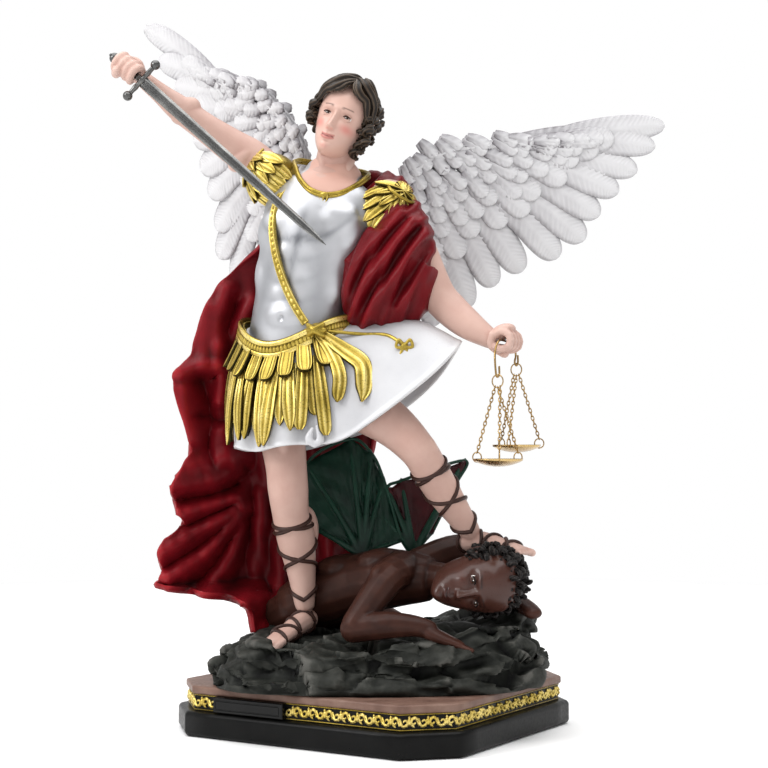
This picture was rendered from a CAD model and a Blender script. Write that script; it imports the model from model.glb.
"""Looks for the archangel statue: painted casting, feathered wings, plinth, sword and scales.

Forms are worked out in millimetres in the figure's own frame (x to the viewer's right, y away,
z up) and turned into the row frame when they become meshes. A form is its points, its faces and
one tone a point, which the paint uses: low in hollows, high on edges.
"""

import math

import bmesh
import bpy
import numpy as np
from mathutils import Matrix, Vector, noise


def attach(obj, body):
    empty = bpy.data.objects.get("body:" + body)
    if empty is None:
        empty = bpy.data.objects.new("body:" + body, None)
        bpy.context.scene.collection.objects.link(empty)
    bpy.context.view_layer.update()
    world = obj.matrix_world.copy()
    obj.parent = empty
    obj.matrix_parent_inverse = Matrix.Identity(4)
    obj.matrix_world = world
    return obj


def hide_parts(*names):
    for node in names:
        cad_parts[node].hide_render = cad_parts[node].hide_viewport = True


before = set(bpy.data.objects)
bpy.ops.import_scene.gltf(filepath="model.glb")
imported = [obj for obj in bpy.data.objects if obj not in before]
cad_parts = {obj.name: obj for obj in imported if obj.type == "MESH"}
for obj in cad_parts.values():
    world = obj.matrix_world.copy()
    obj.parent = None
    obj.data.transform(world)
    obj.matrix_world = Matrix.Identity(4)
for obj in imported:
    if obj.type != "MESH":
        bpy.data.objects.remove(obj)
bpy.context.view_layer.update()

MM = 0.001
FLOOR_RADIUS = 1.5
FLOOR_SIDES = 96
IMAGE_WIDTH = 768
FOCAL_PIXELS = 1613
SENSOR_WIDTH = 36
CENTRE_SHIFT = 6.3
CAMERA_DISTANCE = 1337
CAMERA_HEIGHT = 226
CAMERA_TILT = math.radians(90 + 2.34)
SKY_FADE = (0.28, 0.60, 1.0, 0.30)
# Name, place and size in metres, and watts
LIGHTS = (("top", (0.0, -0.2, 2.4), 3.2, 100), ("key", (-0.8, -1.3, 1.2), 0.6, 13))
LIGHT_AIM = (0, 0, 0.3)
FIGURE_TURN = math.radians(31.9)
FIGURE_SHIFT = 2.5
BODY_TURN = math.radians(-20.0)

PLINTH_WIDTH = 266.0
PLINTH_DEPTH = 250.0
PLINTH_CORNER = 35.0
FOOT_HEIGHT = 20.0
BAND_HEIGHT = 13.0
SLAB_HEIGHT = 6.5
BAND_INSET = 8.0
SLAB_INSET = 6.0
PLATE_LENGTH = 66.0
PLATE_HEIGHT = 14.5
PLATE_THICKNESS = 2.5
PLATE_FROM_CENTRE = -39.0
PLINTH_TOP = FOOT_HEIGHT + BAND_HEIGHT + SLAB_HEIGHT
SEAM_GAP = 0.35

GRIP_RADIUS = 3.0
GUARD_HALF = 17.0
BALL_RADIUS = 4.6
BLADE_WIDTH = 9.6
BLADE_THICKNESS = 2.6

PAN_RADIUS = 19.5
PAN_DEPTH = 6.0
PAN_WALL = 1.0
WIRE_RADIUS = 0.8
HANG_RING = 5.0
RIM_RING = 3.8
RING_WIRE = 0.5
LINK_LENGTH = 4.4
HANG_CLEARANCE = 0.4
HANG_SPREAD = math.radians(30)


def unit(vector):
    vector = np.array(vector, float)
    return vector / np.linalg.norm(vector)


def smooth_rows(rows, steps):
    """Rows of numbers read off a Catmull-Rom curve through the given rows."""
    rows = np.array(rows, float)
    padded = np.vstack([2 * rows[0] - rows[1], rows, 2 * rows[-1] - rows[-2]])
    t = np.linspace(0, 1, steps, endpoint=False)[:, None]
    spans = []
    for a, b, c, d in zip(padded, padded[1:], padded[2:], padded[3:]):
        cubic = (3 * b - 3 * c + d - a) * t**3
        spans.append(0.5 * (2 * b + (c - a) * t + (2 * a - 5 * b + 4 * c - d) * t**2 + cubic))
    return np.vstack([*spans, rows[-1:]])


def grid_faces(rows, columns, base=0, flip=False, closed=False):
    """Quads of a grid of points, numbered row by row from base."""
    last = columns if closed else columns - 1
    i, j = np.meshgrid(np.arange(rows - 1), np.arange(last), indexing="ij")
    k = (j + 1) % columns
    quads = np.stack([i * columns + j, i * columns + k, (i + 1) * columns + k, (i + 1) * columns + j], -1)
    quads = quads.reshape(-1, 4) + base
    return (quads[:, ::-1] if flip else quads).tolist()


def closed_rings(rings, sides, flip=False):
    """Quads between successive closed rings of points, with a face over each end."""
    faces = grid_faces(rings, sides, 0, flip, True)
    return faces + [list(range(sides))[::-1], list(range((rings - 1) * sides, rings * sides))]


def tube(stations, sides=12, depth_axis=(0, 1, 0), steps=3, ends=0.9):
    """A limb, roll or lock: elliptical rings through rows of x, y, z, half width, half depth."""
    rows = smooth_rows(stations, steps)
    centres, radii = rows[:, :3], np.maximum(rows[:, 3:5], 0.15)
    along = np.gradient(centres, axis=0)
    along /= np.linalg.norm(along, axis=1)[:, None]
    fore, aft, fore_radii, aft_radii = [], [], [], []
    for angle in (0.5, 1.0, 1.4):
        fore.append(centres[0] - along[0] * radii[0].mean() * ends * math.sin(angle))
        aft.append(centres[-1] + along[-1] * radii[-1].mean() * ends * math.sin(angle))
        fore_radii.append(radii[0] * math.cos(angle))
        aft_radii.append(radii[-1] * math.cos(angle))
    centres = np.vstack([*fore[::-1], centres, *aft])
    radii = np.vstack([*fore_radii[::-1], radii, *aft_radii])
    along = np.vstack([along[:1]] * 3 + [along] + [along[-1:]] * 3)
    depth = np.array(depth_axis, float) - along * (along @ np.array(depth_axis, float))[:, None]
    depth /= np.linalg.norm(depth, axis=1)[:, None]
    width = np.cross(depth, along)
    turn = np.linspace(0, 2 * math.pi, sides, endpoint=False)
    points = (
        centres[:, None]
        + width[:, None] * radii[:, None, :1] * np.cos(turn)[None, :, None]
        + depth[:, None] * radii[:, None, 1:] * np.sin(turn)[None, :, None]
    ).reshape(-1, 3)
    return points, closed_rings(len(centres), sides)


def ball(centre, radii, axes=None, sides=14):
    """An ellipsoid; axes are its three directions as rows."""
    axes = np.eye(3) if axes is None else np.array(axes, float)
    heights = np.cos(np.linspace(math.pi - 0.12, 0.12, sides // 2 + 2))
    turn = np.linspace(0, 2 * math.pi, sides, endpoint=False)
    reach = np.sqrt(1 - heights**2)
    x, y = reach[:, None] * np.cos(turn), reach[:, None] * np.sin(turn)
    local = np.stack([x, y, np.repeat(heights[:, None], sides, 1)], -1).reshape(-1, 3)
    points = np.array(centre, float) + (local * np.array(radii, float)) @ axes
    return points, closed_rings(len(heights), sides)


def slab(grid, thickness, closed=False):
    """A sheet of some thickness from a grid of points; closed joins its last column to its first."""
    grid = np.asarray(grid, float)
    rows, columns = grid.shape[:2]
    down = np.gradient(grid, axis=0)
    if closed:
        wrapped = np.concatenate([grid[:, -1:], grid, grid[:, :1]], 1)
        across = np.gradient(wrapped, axis=1)[:, 1:-1]
    else:
        across = np.gradient(grid, axis=1)
    normal = np.cross(across, down)
    normal /= np.maximum(np.linalg.norm(normal, axis=2), 1e-9)[..., None]
    half = np.asarray(thickness, float) / 2
    half = half[..., None] if half.ndim else half
    outer, inner = grid + normal * half, grid - normal * half
    points = np.concatenate([outer.reshape(-1, 3), inner.reshape(-1, 3)])
    under = rows * columns
    quads = np.array(grid_faces(rows, columns, 0, False, closed))
    faces = np.stack([quads[:, ::-1], quads + under], 1).reshape(-1, 4).tolist()
    for j in range(columns if closed else columns - 1):
        k = (j + 1) % columns
        faces.append([j, k, under + k, under + j])
        low = (rows - 1) * columns
        faces.append([low + k, low + j, under + low + j, under + low + k])
    if not closed:
        for i in range(rows - 1):
            a, b = i * columns, (i + 1) * columns
            faces.append([b, a, under + a, under + b])
            a, b = a + columns - 1, b + columns - 1
            faces.append([a, b, under + b, under + a])
    return points, faces


def body_axes():
    """The archangel's own directions: to his left, backwards, up."""
    c, s = math.cos(BODY_TURN), math.sin(BODY_TURN)
    return np.array([[c, s, 0], [-s, c, 0], [0, 0, 1]])


SPINE = [
    (-67, 2, 282, 47, 35),
    (-67, 0, 312, 43, 33),
    (-64, -2, 345, 40, 31),
    (-57, -5, 378, 44, 33),
    (-48, -7, 412, 50, 35),
    (-42, -5, 435, 47, 31),
    (-38, -2, 450, 27, 22),
]


def spine_at(height):
    """Centre and half sizes of the trunk at a height, read off the spine."""
    rows = smooth_rows(SPINE, 8)
    return np.array([np.interp(height, rows[:, 2], rows[:, k]) for k in range(5)])


def on_trunk(angle, height, out=0.0):
    """A point on the trunk: angle 0 is straight ahead of him, positive towards his left."""
    x, y, z, half_width, half_depth = spine_at(height)
    left, back, _ = body_axes()
    side, ahead = math.sin(angle), -math.cos(angle)
    return np.array([x, y, z]) + left * (half_width + out) * side + back * (half_depth + out) * ahead


def joined(forms):
    """Several forms as one; a form without tones gets the middle tone."""
    points, faces, tones, base = [], [], [], 0
    for form in forms:
        verts = np.asarray(form[0], float)
        points.append(verts)
        tones.append(form[2] if len(form) > 2 else np.full(len(verts), 0.5))
        faces += [[i + base for i in polygon] for polygon in form[1]]
        base += len(verts)
    return np.vstack(points), faces, np.concatenate(tones)


def grooved(form, sides, grooves, depth, twist=0.0):
    """A tube whose section is drawn in by grooves that run along it, as strands do."""
    points, faces = form[:2]
    rings = points.reshape(-1, sides, 3)
    centres = rings.mean(axis=1, keepdims=True)
    turn = np.linspace(0, 2 * math.pi, sides, endpoint=False)[None, :]
    spin = twist * np.linspace(0, 1, len(rings))[:, None]
    wave = np.cos(grooves * turn + spin)
    rings = centres + (rings - centres) * (1 + depth * wave)[..., None]
    return rings.reshape(-1, 3), faces, (0.5 + 0.5 * wave).reshape(-1)


def blade(path, widths, outs, profile, thickness=1.0, across=9, steps=3, bow=0.0, tone=None, slant=0.0):
    """A leaf, tab or feather: a thin strip along a path, raised by profile(u, s) on its outer face.

    u runs from -1 to 1 across it and s from 0 to 1 along it; bow rounds it across, and slant
    sweeps the mesh rows towards the tip at both sides.
    """
    path = np.asarray(path, float)
    outs = np.broadcast_to(np.asarray(outs, float), path.shape)
    rows = smooth_rows(np.column_stack([path, widths, outs]), steps)
    centres, half, outs = rows[:, :3], np.maximum(rows[:, 3], 0.1), rows[:, 4:7]
    along = np.gradient(centres, axis=0)
    along /= np.linalg.norm(along, axis=1)[:, None]
    outs = outs - along * (outs * along).sum(1)[:, None]
    outs /= np.linalg.norm(outs, axis=1)[:, None]
    side = np.cross(along, outs)
    knots = np.linspace(0, 1, len(centres))
    u, s = np.meshgrid(np.linspace(-1, 1, across), knots)
    s = s + slant * np.abs(u) * np.sin(math.pi * s)

    def spread(values):
        return np.stack([np.interp(s, knots, column) for column in values.T], -1)

    half = np.interp(s, knots, half)
    outs = spread(outs)
    high = profile(u, s)
    body = spread(centres) + spread(side) * (half * u)[..., None] - outs * (bow * half * u**2)[..., None]
    front = body + outs * (high + thickness / 2)[..., None]
    back = body - outs * (thickness / 2)
    points = np.concatenate([front.reshape(-1, 3), back.reshape(-1, 3)])
    count, under = len(centres), front.shape[0] * across
    faces = grid_faces(count, across, 0, False) + grid_faces(count, across, under, True)
    top, low = np.arange(across - 1), (count - 1) * across + np.arange(across - 1)
    faces += np.stack([top + 1, top, under + top, under + top + 1], -1).tolist()
    faces += np.stack([low, low + 1, under + low + 1, under + low], -1).tolist()
    left, right = np.arange(count - 1) * across, np.arange(count - 1) * across + across - 1
    faces += np.stack([left, left + across, under + left + across, under + left], -1).tolist()
    faces += np.stack([right + across, right, under + right, under + right + across], -1).tolist()
    shade = tone(u, s) if tone else np.clip(high / max(high.max(), 1e-6), 0, 1)
    shade = np.broadcast_to(shade, u.shape).reshape(-1)
    return points, faces, np.concatenate([shade, shade])


def row_frame(points):
    """Figure millimetres as row metres."""
    c, s = math.cos(FIGURE_TURN), math.sin(FIGURE_TURN)
    x, y, z = (np.asarray(points, float) + (FIGURE_SHIFT, 0, 0)).T
    return np.stack([x * c - y * s, x * s + y * c, z], -1) * MM


def mesh_object(name, form, turned=True):
    points, faces = form[:2]
    mesh = bpy.data.meshes.new(name)
    mesh.from_pydata((row_frame(points) if turned else np.asarray(points) * MM).tolist(), [], faces)
    mesh.validate()
    tones = form[2] if len(form) > 2 else np.full(len(points), 0.5)
    mesh.attributes.new("tone", "FLOAT", "POINT").data.foreach_set("value", np.asarray(tones, np.float32))
    obj = bpy.data.objects.new(name, mesh)
    bpy.context.scene.collection.objects.link(obj)
    return obj


def outward_normals(mesh):
    shape = bmesh.new()
    shape.from_mesh(mesh)
    bmesh.ops.recalc_face_normals(shape, faces=shape.faces)
    shape.to_mesh(mesh)
    shape.free()


def settled(obj):
    """Applies the object's modifiers to its mesh."""
    graph = bpy.context.evaluated_depsgraph_get()
    made = bpy.data.meshes.new_from_object(obj.evaluated_get(graph), depsgraph=graph)
    obj.modifiers.clear()
    obj.data = made


def mesh_arrays(mesh):
    count = len(mesh.vertices)
    places, normals = np.empty(count * 3), np.empty(count * 3)
    mesh.vertices.foreach_get("co", places)
    mesh.vertices.foreach_get("normal", normals)
    edges = np.empty(len(mesh.edges) * 2, int)
    mesh.edges.foreach_get("vertices", edges)
    return places.reshape(-1, 3), normals.reshape(-1, 3), edges.reshape(-1, 2)


def relief_tones(mesh, rounds, depth):
    """How far each point stands out of its softened surroundings: 0 in hollows, 1 on crests."""
    places, normals, edges = mesh_arrays(mesh)
    first, second = edges.T
    count = len(places)
    links = np.bincount(first, minlength=count) + np.bincount(second, minlength=count)
    soft = places.copy()
    for _ in range(rounds):
        for k in range(3):
            around = np.bincount(first, soft[second, k], count)
            around = around + np.bincount(second, soft[first, k], count)
            soft[:, k] = 0.4 * soft[:, k] + 0.6 * around / np.maximum(links, 1)
    out = ((places - soft) * normals).sum(1) / (depth * MM)
    return np.clip(0.5 + 0.5 * out, 0, 1)


def set_tones(mesh, tones, name="tone"):
    if name in mesh.attributes:
        mesh.attributes.remove(mesh.attributes[name])
    mesh.attributes.new(name, "FLOAT", "POINT").data.foreach_set("value", np.asarray(tones, np.float32))


def piece(name, form, paint, node="figure_group", turned=True, smooth=True):
    """A shown piece from a form, standing for part or all of a CAD node."""
    obj = mesh_object(name, form, turned)
    outward_normals(obj.data)
    return dressed(obj, paint, node, smooth)


TRIANGLES = {
    "cape": 50000, "fallen_hair": 44000, "skin": 72000, "angel_hair": 68000, "feathered_wing_left": 94000,
    "feathered_wing_right": 94000, "tunic": 34000, "fallen_body": 40000, "plinth_scrolls": 42000,
    "breastplate": 34000, "rocks": 50000, "arm_cloth": 34000,
    "shoulder_left": 17000, "shoulder_right": 17000,
    "bat_wing_ribs_1": 10000, "bat_wing_ribs_2": 8000, "gilt_leaves": 20000, "gilt_belt": 20000,
    "sandal_straps": 10000, "sash_cord": 5000, "bat_wing_back_1": 6000, "bat_wing_back_2": 6000,
    "bat_wing_front_1": 6000, "bat_wing_front_2": 6000,
}


def lightened(obj):
    """Joins the smallest triangles until the piece has no more than its share."""
    mesh = obj.data
    mesh.calc_loop_triangles()
    share = TRIANGLES.get(obj.name, len(mesh.loop_triangles)) / len(mesh.loop_triangles)
    if share < 1:
        fewer = obj.modifiers.new("fewer", "DECIMATE")
        fewer.ratio = share
        settled(obj)


def dressed(obj, paint, node="figure_group", smooth=True):
    """The paint, the body, the CAD node that it stands for and the slot of a shown piece."""
    lightened(obj)
    obj.data.materials.clear()
    obj.data.materials.append(paint)
    obj.data.polygons.foreach_set("use_smooth", np.full(len(obj.data.polygons), smooth))
    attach(obj, "root")
    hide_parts(node)
    return obj


def grown(name, form, paint, rounds, depth):
    """A piece from one clean form, with tones from its own hollows and crests."""
    obj = mesh_object(name, form)
    outward_normals(obj.data)
    set_tones(obj.data, relief_tones(obj.data, rounds, depth))
    return dressed(obj, paint)


def moulded(name, forms, paint, voxel, passes, rounds, depth, shape=None):
    """One soft skin round all the forms, with tones from its own hollows and crests.

    voxel is its fineness in mm and passes how often it is smoothed; rounds and depth are for the tones.
    """
    obj = mesh_object(name, joined(forms))
    outward_normals(obj.data)
    skin = obj.modifiers.new("one_skin", "REMESH")
    skin.mode = "VOXEL"
    skin.voxel_size = voxel * MM
    soft = obj.modifiers.new("soften", "SMOOTH")
    soft.iterations = passes
    settled(obj)
    if shape:
        shape(obj.data)
    set_tones(obj.data, relief_tones(obj.data, rounds, depth))
    return dressed(obj, paint)


# Paint
def mapped(tree, value, low, high, first, last):
    """A node that turns values from low to high into first to last."""
    node = tree.nodes.new("ShaderNodeMapRange")
    for name, number in (("From Min", low), ("From Max", high), ("To Min", first), ("To Max", last)):
        node.inputs[name].default_value = number
    tree.links.new(value, node.inputs["Value"])
    return node


def paint(
    name, ramp, roughness, metallic=0.0, grain=500.0, bump=0.15, mottle=0.12, coat=0.0, worn=60.0,
    gleam=0.25
):
    """A painted or metal finish: ramp gives the colour from hollow to crest.

    grain is the fine texture's frequency per metre, mottle how far broad patches shift the ramp.
    """
    made = bpy.data.materials.new(name)
    made.use_nodes = True
    tree = made.node_tree
    shader = tree.nodes["Principled BSDF"]
    place = tree.nodes.new("ShaderNodeTexCoord")
    tone = tree.nodes.new("ShaderNodeAttribute")
    tone.attribute_name = "tone"

    def cloudy(scale, detail):
        texture = tree.nodes.new("ShaderNodeTexNoise")
        texture.inputs["Scale"].default_value = scale
        texture.inputs["Detail"].default_value = detail
        tree.links.new(place.outputs["Object"], texture.inputs["Vector"])
        return texture

    patches, fine = cloudy(worn, 5), cloudy(grain, 4)
    spread = mapped(tree, patches.outputs["Fac"], 0.3, 0.7, -mottle, mottle)
    total = tree.nodes.new("ShaderNodeMath")
    total.operation = "ADD"
    tree.links.new(tone.outputs["Fac"], total.inputs[0])
    tree.links.new(spread.outputs["Result"], total.inputs[1])
    colours = tree.nodes.new("ShaderNodeValToRGB")
    stops = colours.color_ramp.elements
    while len(stops) < len(ramp):
        stops.new(0.5)
    for stop, (position, *colour) in zip(stops, ramp):
        stop.position = position
        stop.color = (*colour, 1)
    tree.links.new(total.outputs["Value"], colours.inputs["Fac"])
    tree.links.new(colours.outputs["Color"], shader.inputs["Base Color"])
    shine = mapped(tree, fine.outputs["Fac"], 0.3, 0.7, max(0.03, roughness - 0.07), roughness + 0.09)
    tree.links.new(shine.outputs["Result"], shader.inputs["Roughness"])
    raised = tree.nodes.new("ShaderNodeBump")
    raised.inputs["Strength"].default_value = bump
    raised.inputs["Distance"].default_value = 0.0006
    tree.links.new(fine.outputs["Fac"], raised.inputs["Height"])
    tree.links.new(raised.outputs["Normal"], shader.inputs["Normal"])
    shader.inputs["Metallic"].default_value = metallic
    shader.inputs["Coat Weight"].default_value = coat
    shader.inputs["Coat Roughness"].default_value = 0.12
    shader.inputs["Specular IOR Level"].default_value = gleam
    return made

ARM_RIGHT = [
    (-82, 6, 446, 18, 18),
    (-104, 5, 468, 16.5, 16),
    (-122, 3, 480, 14.5, 14.5),
    (-144, 0, 495, 12, 12.5),
    (-166, -2, 511, 11, 11),
    (-180, -4, 522, 8.5, 8.5),
    (-193, -9, 532, 7, 8),
]
ARM_LEFT = [
    (8, -14, 432, 19, 18),
    (30, -19, 392, 17, 17),
    (48, -27, 354, 14.5, 14.5),
    (60, -33, 339, 14, 13.5),
    (74, -43, 326, 12, 12),
    (90, -52, 314.5, 8, 8.5),
]
LEG_RIGHT = [
    (-84, 4, 290, 24, 24),
    (-80, -8, 248, 20, 21),
    (-75, -18, 215, 17, 18),
    (-73, -21, 194, 16.5, 17),
    (-71, -14, 172, 15, 16),
    (-67, -7, 152, 15.5, 17),
    (-63, -3, 127, 12, 13.5),
    (-60, -4, 100, 8.5, 10),
]
LEG_LEFT = [
    (-50, -8, 290, 25, 25),
    (-18, -32, 266, 22, 22),
    (12, -46, 246, 18, 18),
    (32, -49, 226, 15, 16),
    (42, -42, 210, 14.5, 15.5),
    (51, -34, 195, 14, 15.5),
    (64, -27, 176, 11.5, 12.5),
    (75, -23, 160, 8.5, 9.5),
]
FOOT_RIGHT = [(-57, 3, 86, 8, 9), (-64, -14, 84, 8.5, 8.5), (-76, -33, 77, 9.5, 6), (-83, -44, 73, 9, 4.5)]
FOOT_LEFT = [
    (72, -19, 152, 8, 8.5), (86, -25, 152, 8.5, 8), (103, -33, 148, 9, 6), (113, -38, 146, 8.5, 4.5)
]
TOE_SPREAD = (-7.6, -3.8, 0, 3.6, 7.0)


def foot(stations, toe_length):
    """A bare foot with five toes; its last two stations give the direction of the toes."""
    forms = [tube(stations, depth_axis=(0, 0, 1))]
    a, b = np.array(stations[-2][:3]), np.array(stations[-1][:3])
    ahead = unit(b - a)
    across = unit(np.cross(ahead, (0, 0, 1)))
    for k, offset in enumerate(TOE_SPREAD):
        thick = 3.4 if k == 0 else 2.6 - 0.15 * k
        start = b + across * offset - ahead * 4
        end = start + ahead * (toe_length - abs(offset - TOE_SPREAD[0]) * 0.35)
        end[2] -= 1.2
        forms.append(
            tube([(*start, thick, thick), (*(start + end) / 2, thick, thick), (*end, thick, thick)], 8)
        )
    return forms


def fist(centre, grip, palm, size=25.0):
    """A closed hand: grip is the direction of what it holds, palm points to the back of the hand."""
    centre, grip = np.array(centre, float), unit(grip)
    palm = unit(np.array(palm, float) - grip * (np.array(palm, float) @ grip))
    side = np.cross(grip, palm)
    finger, curl = size * 0.135, size * 0.30
    forms = [ball(centre + palm * curl * 1.05, (size * 0.46, size * 0.44, size * 0.25), (grip, side, palm))]
    for k in range(4):
        start = centre + grip * (k - 1.5) * finger * 1.8
        arc = []
        for angle in np.linspace(-0.4, 4.3, 9):
            reach = curl * (1.0 if angle < 2.6 else 0.9)
            arc.append(
                (*(start + palm * reach * math.cos(angle) + side * reach * math.sin(angle)), finger, finger)
            )
        forms.append(tube(arc, 8, grip, 1))
    thumb = [centre + palm * curl - side * curl * 0.7 - grip * finger * 2.6]
    thumb.append(centre - side * curl * 1.35 - grip * finger * 2.2)
    thumb.append(centre - side * curl * 0.5 - palm * curl * 1.25 - grip * finger * 0.9)
    forms.append(tube([(*p, finger * 1.1, finger * 1.1) for p in thumb], 8, grip, 3))
    return forms


GRIP_RIGHT = unit((-194 + 217, -26 + 18, 529 - 549))
FIST_RIGHT = np.array((-205.5, -22.0, 539.0))
FIST_LEFT = np.array((102.0, -61.0, 312.0))
GRIP_LEFT = unit((0.46, 0.88, 0.0))
HEAD_CENTRE = np.array((-28.5, -14.0, 496.5))
HEAD_SIZE = 65.0
HEAD_ROLL = math.radians(21)
HEAD_TURN = math.radians(-14)
HEAD_PROFILE = [
    # height, half width, front, back, as shares of the head's height
    (-0.50, 0.075, 0.30, 0.02),
    (-0.46, 0.15, 0.36, 0.10),
    (-0.36, 0.225, 0.385, 0.20),
    (-0.22, 0.28, 0.375, 0.30),
    (-0.05, 0.325, 0.37, 0.41),
    (0.12, 0.345, 0.385, 0.46),
    (0.28, 0.325, 0.355, 0.44),
    (0.42, 0.225, 0.24, 0.31),
    (0.49, 0.09, 0.10, 0.13),
]


def placed(form, axes, centre):
    """A form turned by axes (its x, y and z directions as rows) and moved to centre."""
    points, faces = form
    return points @ np.array(axes, float) + np.array(centre, float), faces


def turned_axes(roll, turn, nod=0.0):
    """Directions of a head that leans by roll, looks aside by turn and nods forwards."""
    cr, sr, ct, st, cn, sn = (f(a) for a in (roll, turn, nod) for f in (math.cos, math.sin))
    lean = np.array([[cr, 0, -sr], [0, 1, 0], [sr, 0, cr]])
    look = np.array([[ct, st, 0], [-st, ct, 0], [0, 0, 1]])
    dip = np.array([[1, 0, 0], [0, cn, sn], [0, -sn, cn]])
    return dip @ look @ lean


HEM_LOW = 227.0
SKIRT_TOP = 318.0
BELT_DIP = 12.0
FLARE_REACH = 76.0
FLARE_RISE = 82.0
FLARE_ANGLE = math.radians(-10)


def belt_height(angle):
    """Height of the belt round the waist: it dips in front and rises to both sides."""
    return SKIRT_TOP + BELT_DIP - 2 * BELT_DIP * math.exp(-(((angle + 0.12) / 0.85) ** 2))


def skirt_point(angle, drop, out=0.0):
    """A point of the tunic's skirt: angle as on the trunk, drop 0 at the waist and 1 at the hem."""
    waist = on_trunk(angle, belt_height(angle), 1.5 + out)
    heading = angle - math.pi / 2 + BODY_TURN
    away = math.remainder(heading - FLARE_ANGLE, 2 * math.pi)
    lift = math.exp(-((away / (0.72 if away < 0 else 0.85)) ** 2))
    straight = math.exp(-(((angle + 1.45) / 0.75) ** 2))
    reach = 15 - 16 * straight + FLARE_REACH * lift**0.8 + 4 * math.sin(angle * 5 + 0.6)
    bottom = HEM_LOW + 2.5 * math.sin(angle * 5) + FLARE_RISE * lift**1.35
    outward = np.array([math.cos(heading), math.sin(heading), 0])
    base = on_trunk(angle, 300, 2 + out)
    hem = np.array([base[0], base[1], 0]) + outward * reach + np.array([0, 0, bottom])
    hem[1] -= 14 * lift
    belly = math.sin(math.pi * drop) * (4 + 9 * lift)
    point = waist * (1 - drop) + hem * drop + outward * belly * (1 - lift) + np.array([0, 0, belly * lift])
    ripple = 2.6 * drop * math.sin(angle * 9 + 1.2 * drop) * (1 - 0.5 * lift)
    return point + outward * ripple


TAB_COUNT = 9
STRIP_COUNT = 11
CAPE_EDGE = [
    # height, and how far the free edge reaches to the viewer's left and towards the viewer
    (446, -80, 14),
    (420, -88, 20),
    (400, -100, 28),
    (388, -114, 34),
    (376, -126, 34),
    (352, -143, 30),
    (325, -152, 26),
    (300, -160, 16),
    (286, -171, 10),
    (262, -166, 12),
    (238, -159, 16),
    (222, -158, 18),
    (206, -166, 8),
    (192, -172, 4),
    (176, -168, 12),
    (164, -163, 16),
    (150, -178, 6),
    (134, -181, 2),
    (122, -178, 6),
    (114, -183, 2),
    (107, -150, 8),
    (98, -112, 14),
    (74, -104, 14),
]
CAPE_BACK = [
    # height, right end, depth behind the body at mid span
    (446, 6, 24),
    (400, 24, 44),
    (320, 14, 54),
    (240, -2, 66),
    (160, -14, 72),
    (74, -26, 64),
]
CAPE_RIDGES = [
    # how far each crest stands out, or crease sinks in, its width, and its line of x and height
    (8, 7, [(-128, 362), (-136, 332), (-134, 300)]),
    (5, 6, [(-143, 346), (-147, 322), (-146, 300)]),
    (-7, 5, [(-122, 350), (-128, 326), (-126, 304)]),
    (7, 7, [(-106, 352), (-118, 334), (-130, 314)]),
    (9, 6, [(-163, 290), (-152, 295), (-135, 294), (-131, 288), (-133, 268)]),
    (-11, 7, [(-150, 283), (-146, 270), (-144, 258)]),
    (6, 6, [(-163, 276), (-161, 258), (-155, 236)]),
    (8, 8, [(-122, 288), (-122, 268)]),
    (-7, 5, [(-152, 254), (-140, 252), (-132, 250)]),
    (9, 8, [(-114, 262), (-129, 240), (-126, 218)]),
    (-6, 5, [(-142, 246), (-144, 228), (-140, 216)]),
    (10, 9, [(-118, 222), (-144, 214), (-166, 206)]),
    (7, 6, [(-122, 208), (-142, 200), (-170, 194)]),
    (-12, 6, [(-174, 185), (-146, 186), (-126, 194), (-114, 208)]),
    (9, 6, [(-122, 186), (-148, 180), (-166, 172)]),
    (-8, 4.5, [(-122, 180), (-146, 168), (-166, 162)]),
    (9, 6, [(-120, 178), (-150, 158), (-176, 142)]),
    (-8, 4.5, [(-120, 174), (-146, 148), (-178, 128)]),
    (10, 7, [(-116, 176), (-140, 146), (-172, 120)]),
    (-9, 5, [(-116, 168), (-136, 134), (-158, 108)]),
    (8, 6, [(-114, 170), (-124, 140), (-142, 108)]),
    (-8, 5, [(-110, 170), (-116, 140), (-126, 106)]),
    (9, 6, [(-102, 188), (-102, 156), (-108, 122), (-112, 98)]),
    (-9, 6, [(-93, 186), (-92, 136), (-94, 86)]),
    (5, 5, [(-98, 112), (-96, 78)]),
]
ARM_CLOTH = [
    # centre, half width and half depth of each level of the cloth round his left upper arm
    (6, 2, 453, 8, 6),
    (8, -4, 443, 19, 14),
    (9, -12, 427, 23, 20),
    (17, -20, 407, 25.5, 24),
    (19.5, -25, 394, 28, 26),
    (14, -27, 383, 36, 27),
    (9, -28, 364, 42, 27),
    (-3, -27, 346, 33, 23),
    (-10.5, -25, 335, 21, 17),
    (-14, -24, 326, 9, 8),
]
ARM_RIDGES = [
    (6, 5, [(18, 418), (-5, 392), (-21, 368), (-28, 346)]),
    (-6, 3.5, [(22, 413), (0, 386), (-17, 361), (-25, 338)]),
    (7, 5.5, [(27, 410), (6, 380), (-13, 354), (-22, 332)]),
    (-7, 3.5, [(32, 404), (13, 376), (-6, 350), (-18, 329)]),
    (7, 6, [(37, 399), (19, 372), (2, 348), (-12, 328)]),
    (-6, 4, [(41, 390), (27, 366), (12, 344)]),
    (6, 6, [(45, 382), (33, 360), (18, 342)]),
    (5, 5, [(30, 440), (36, 414), (48, 390)]),
]


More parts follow.
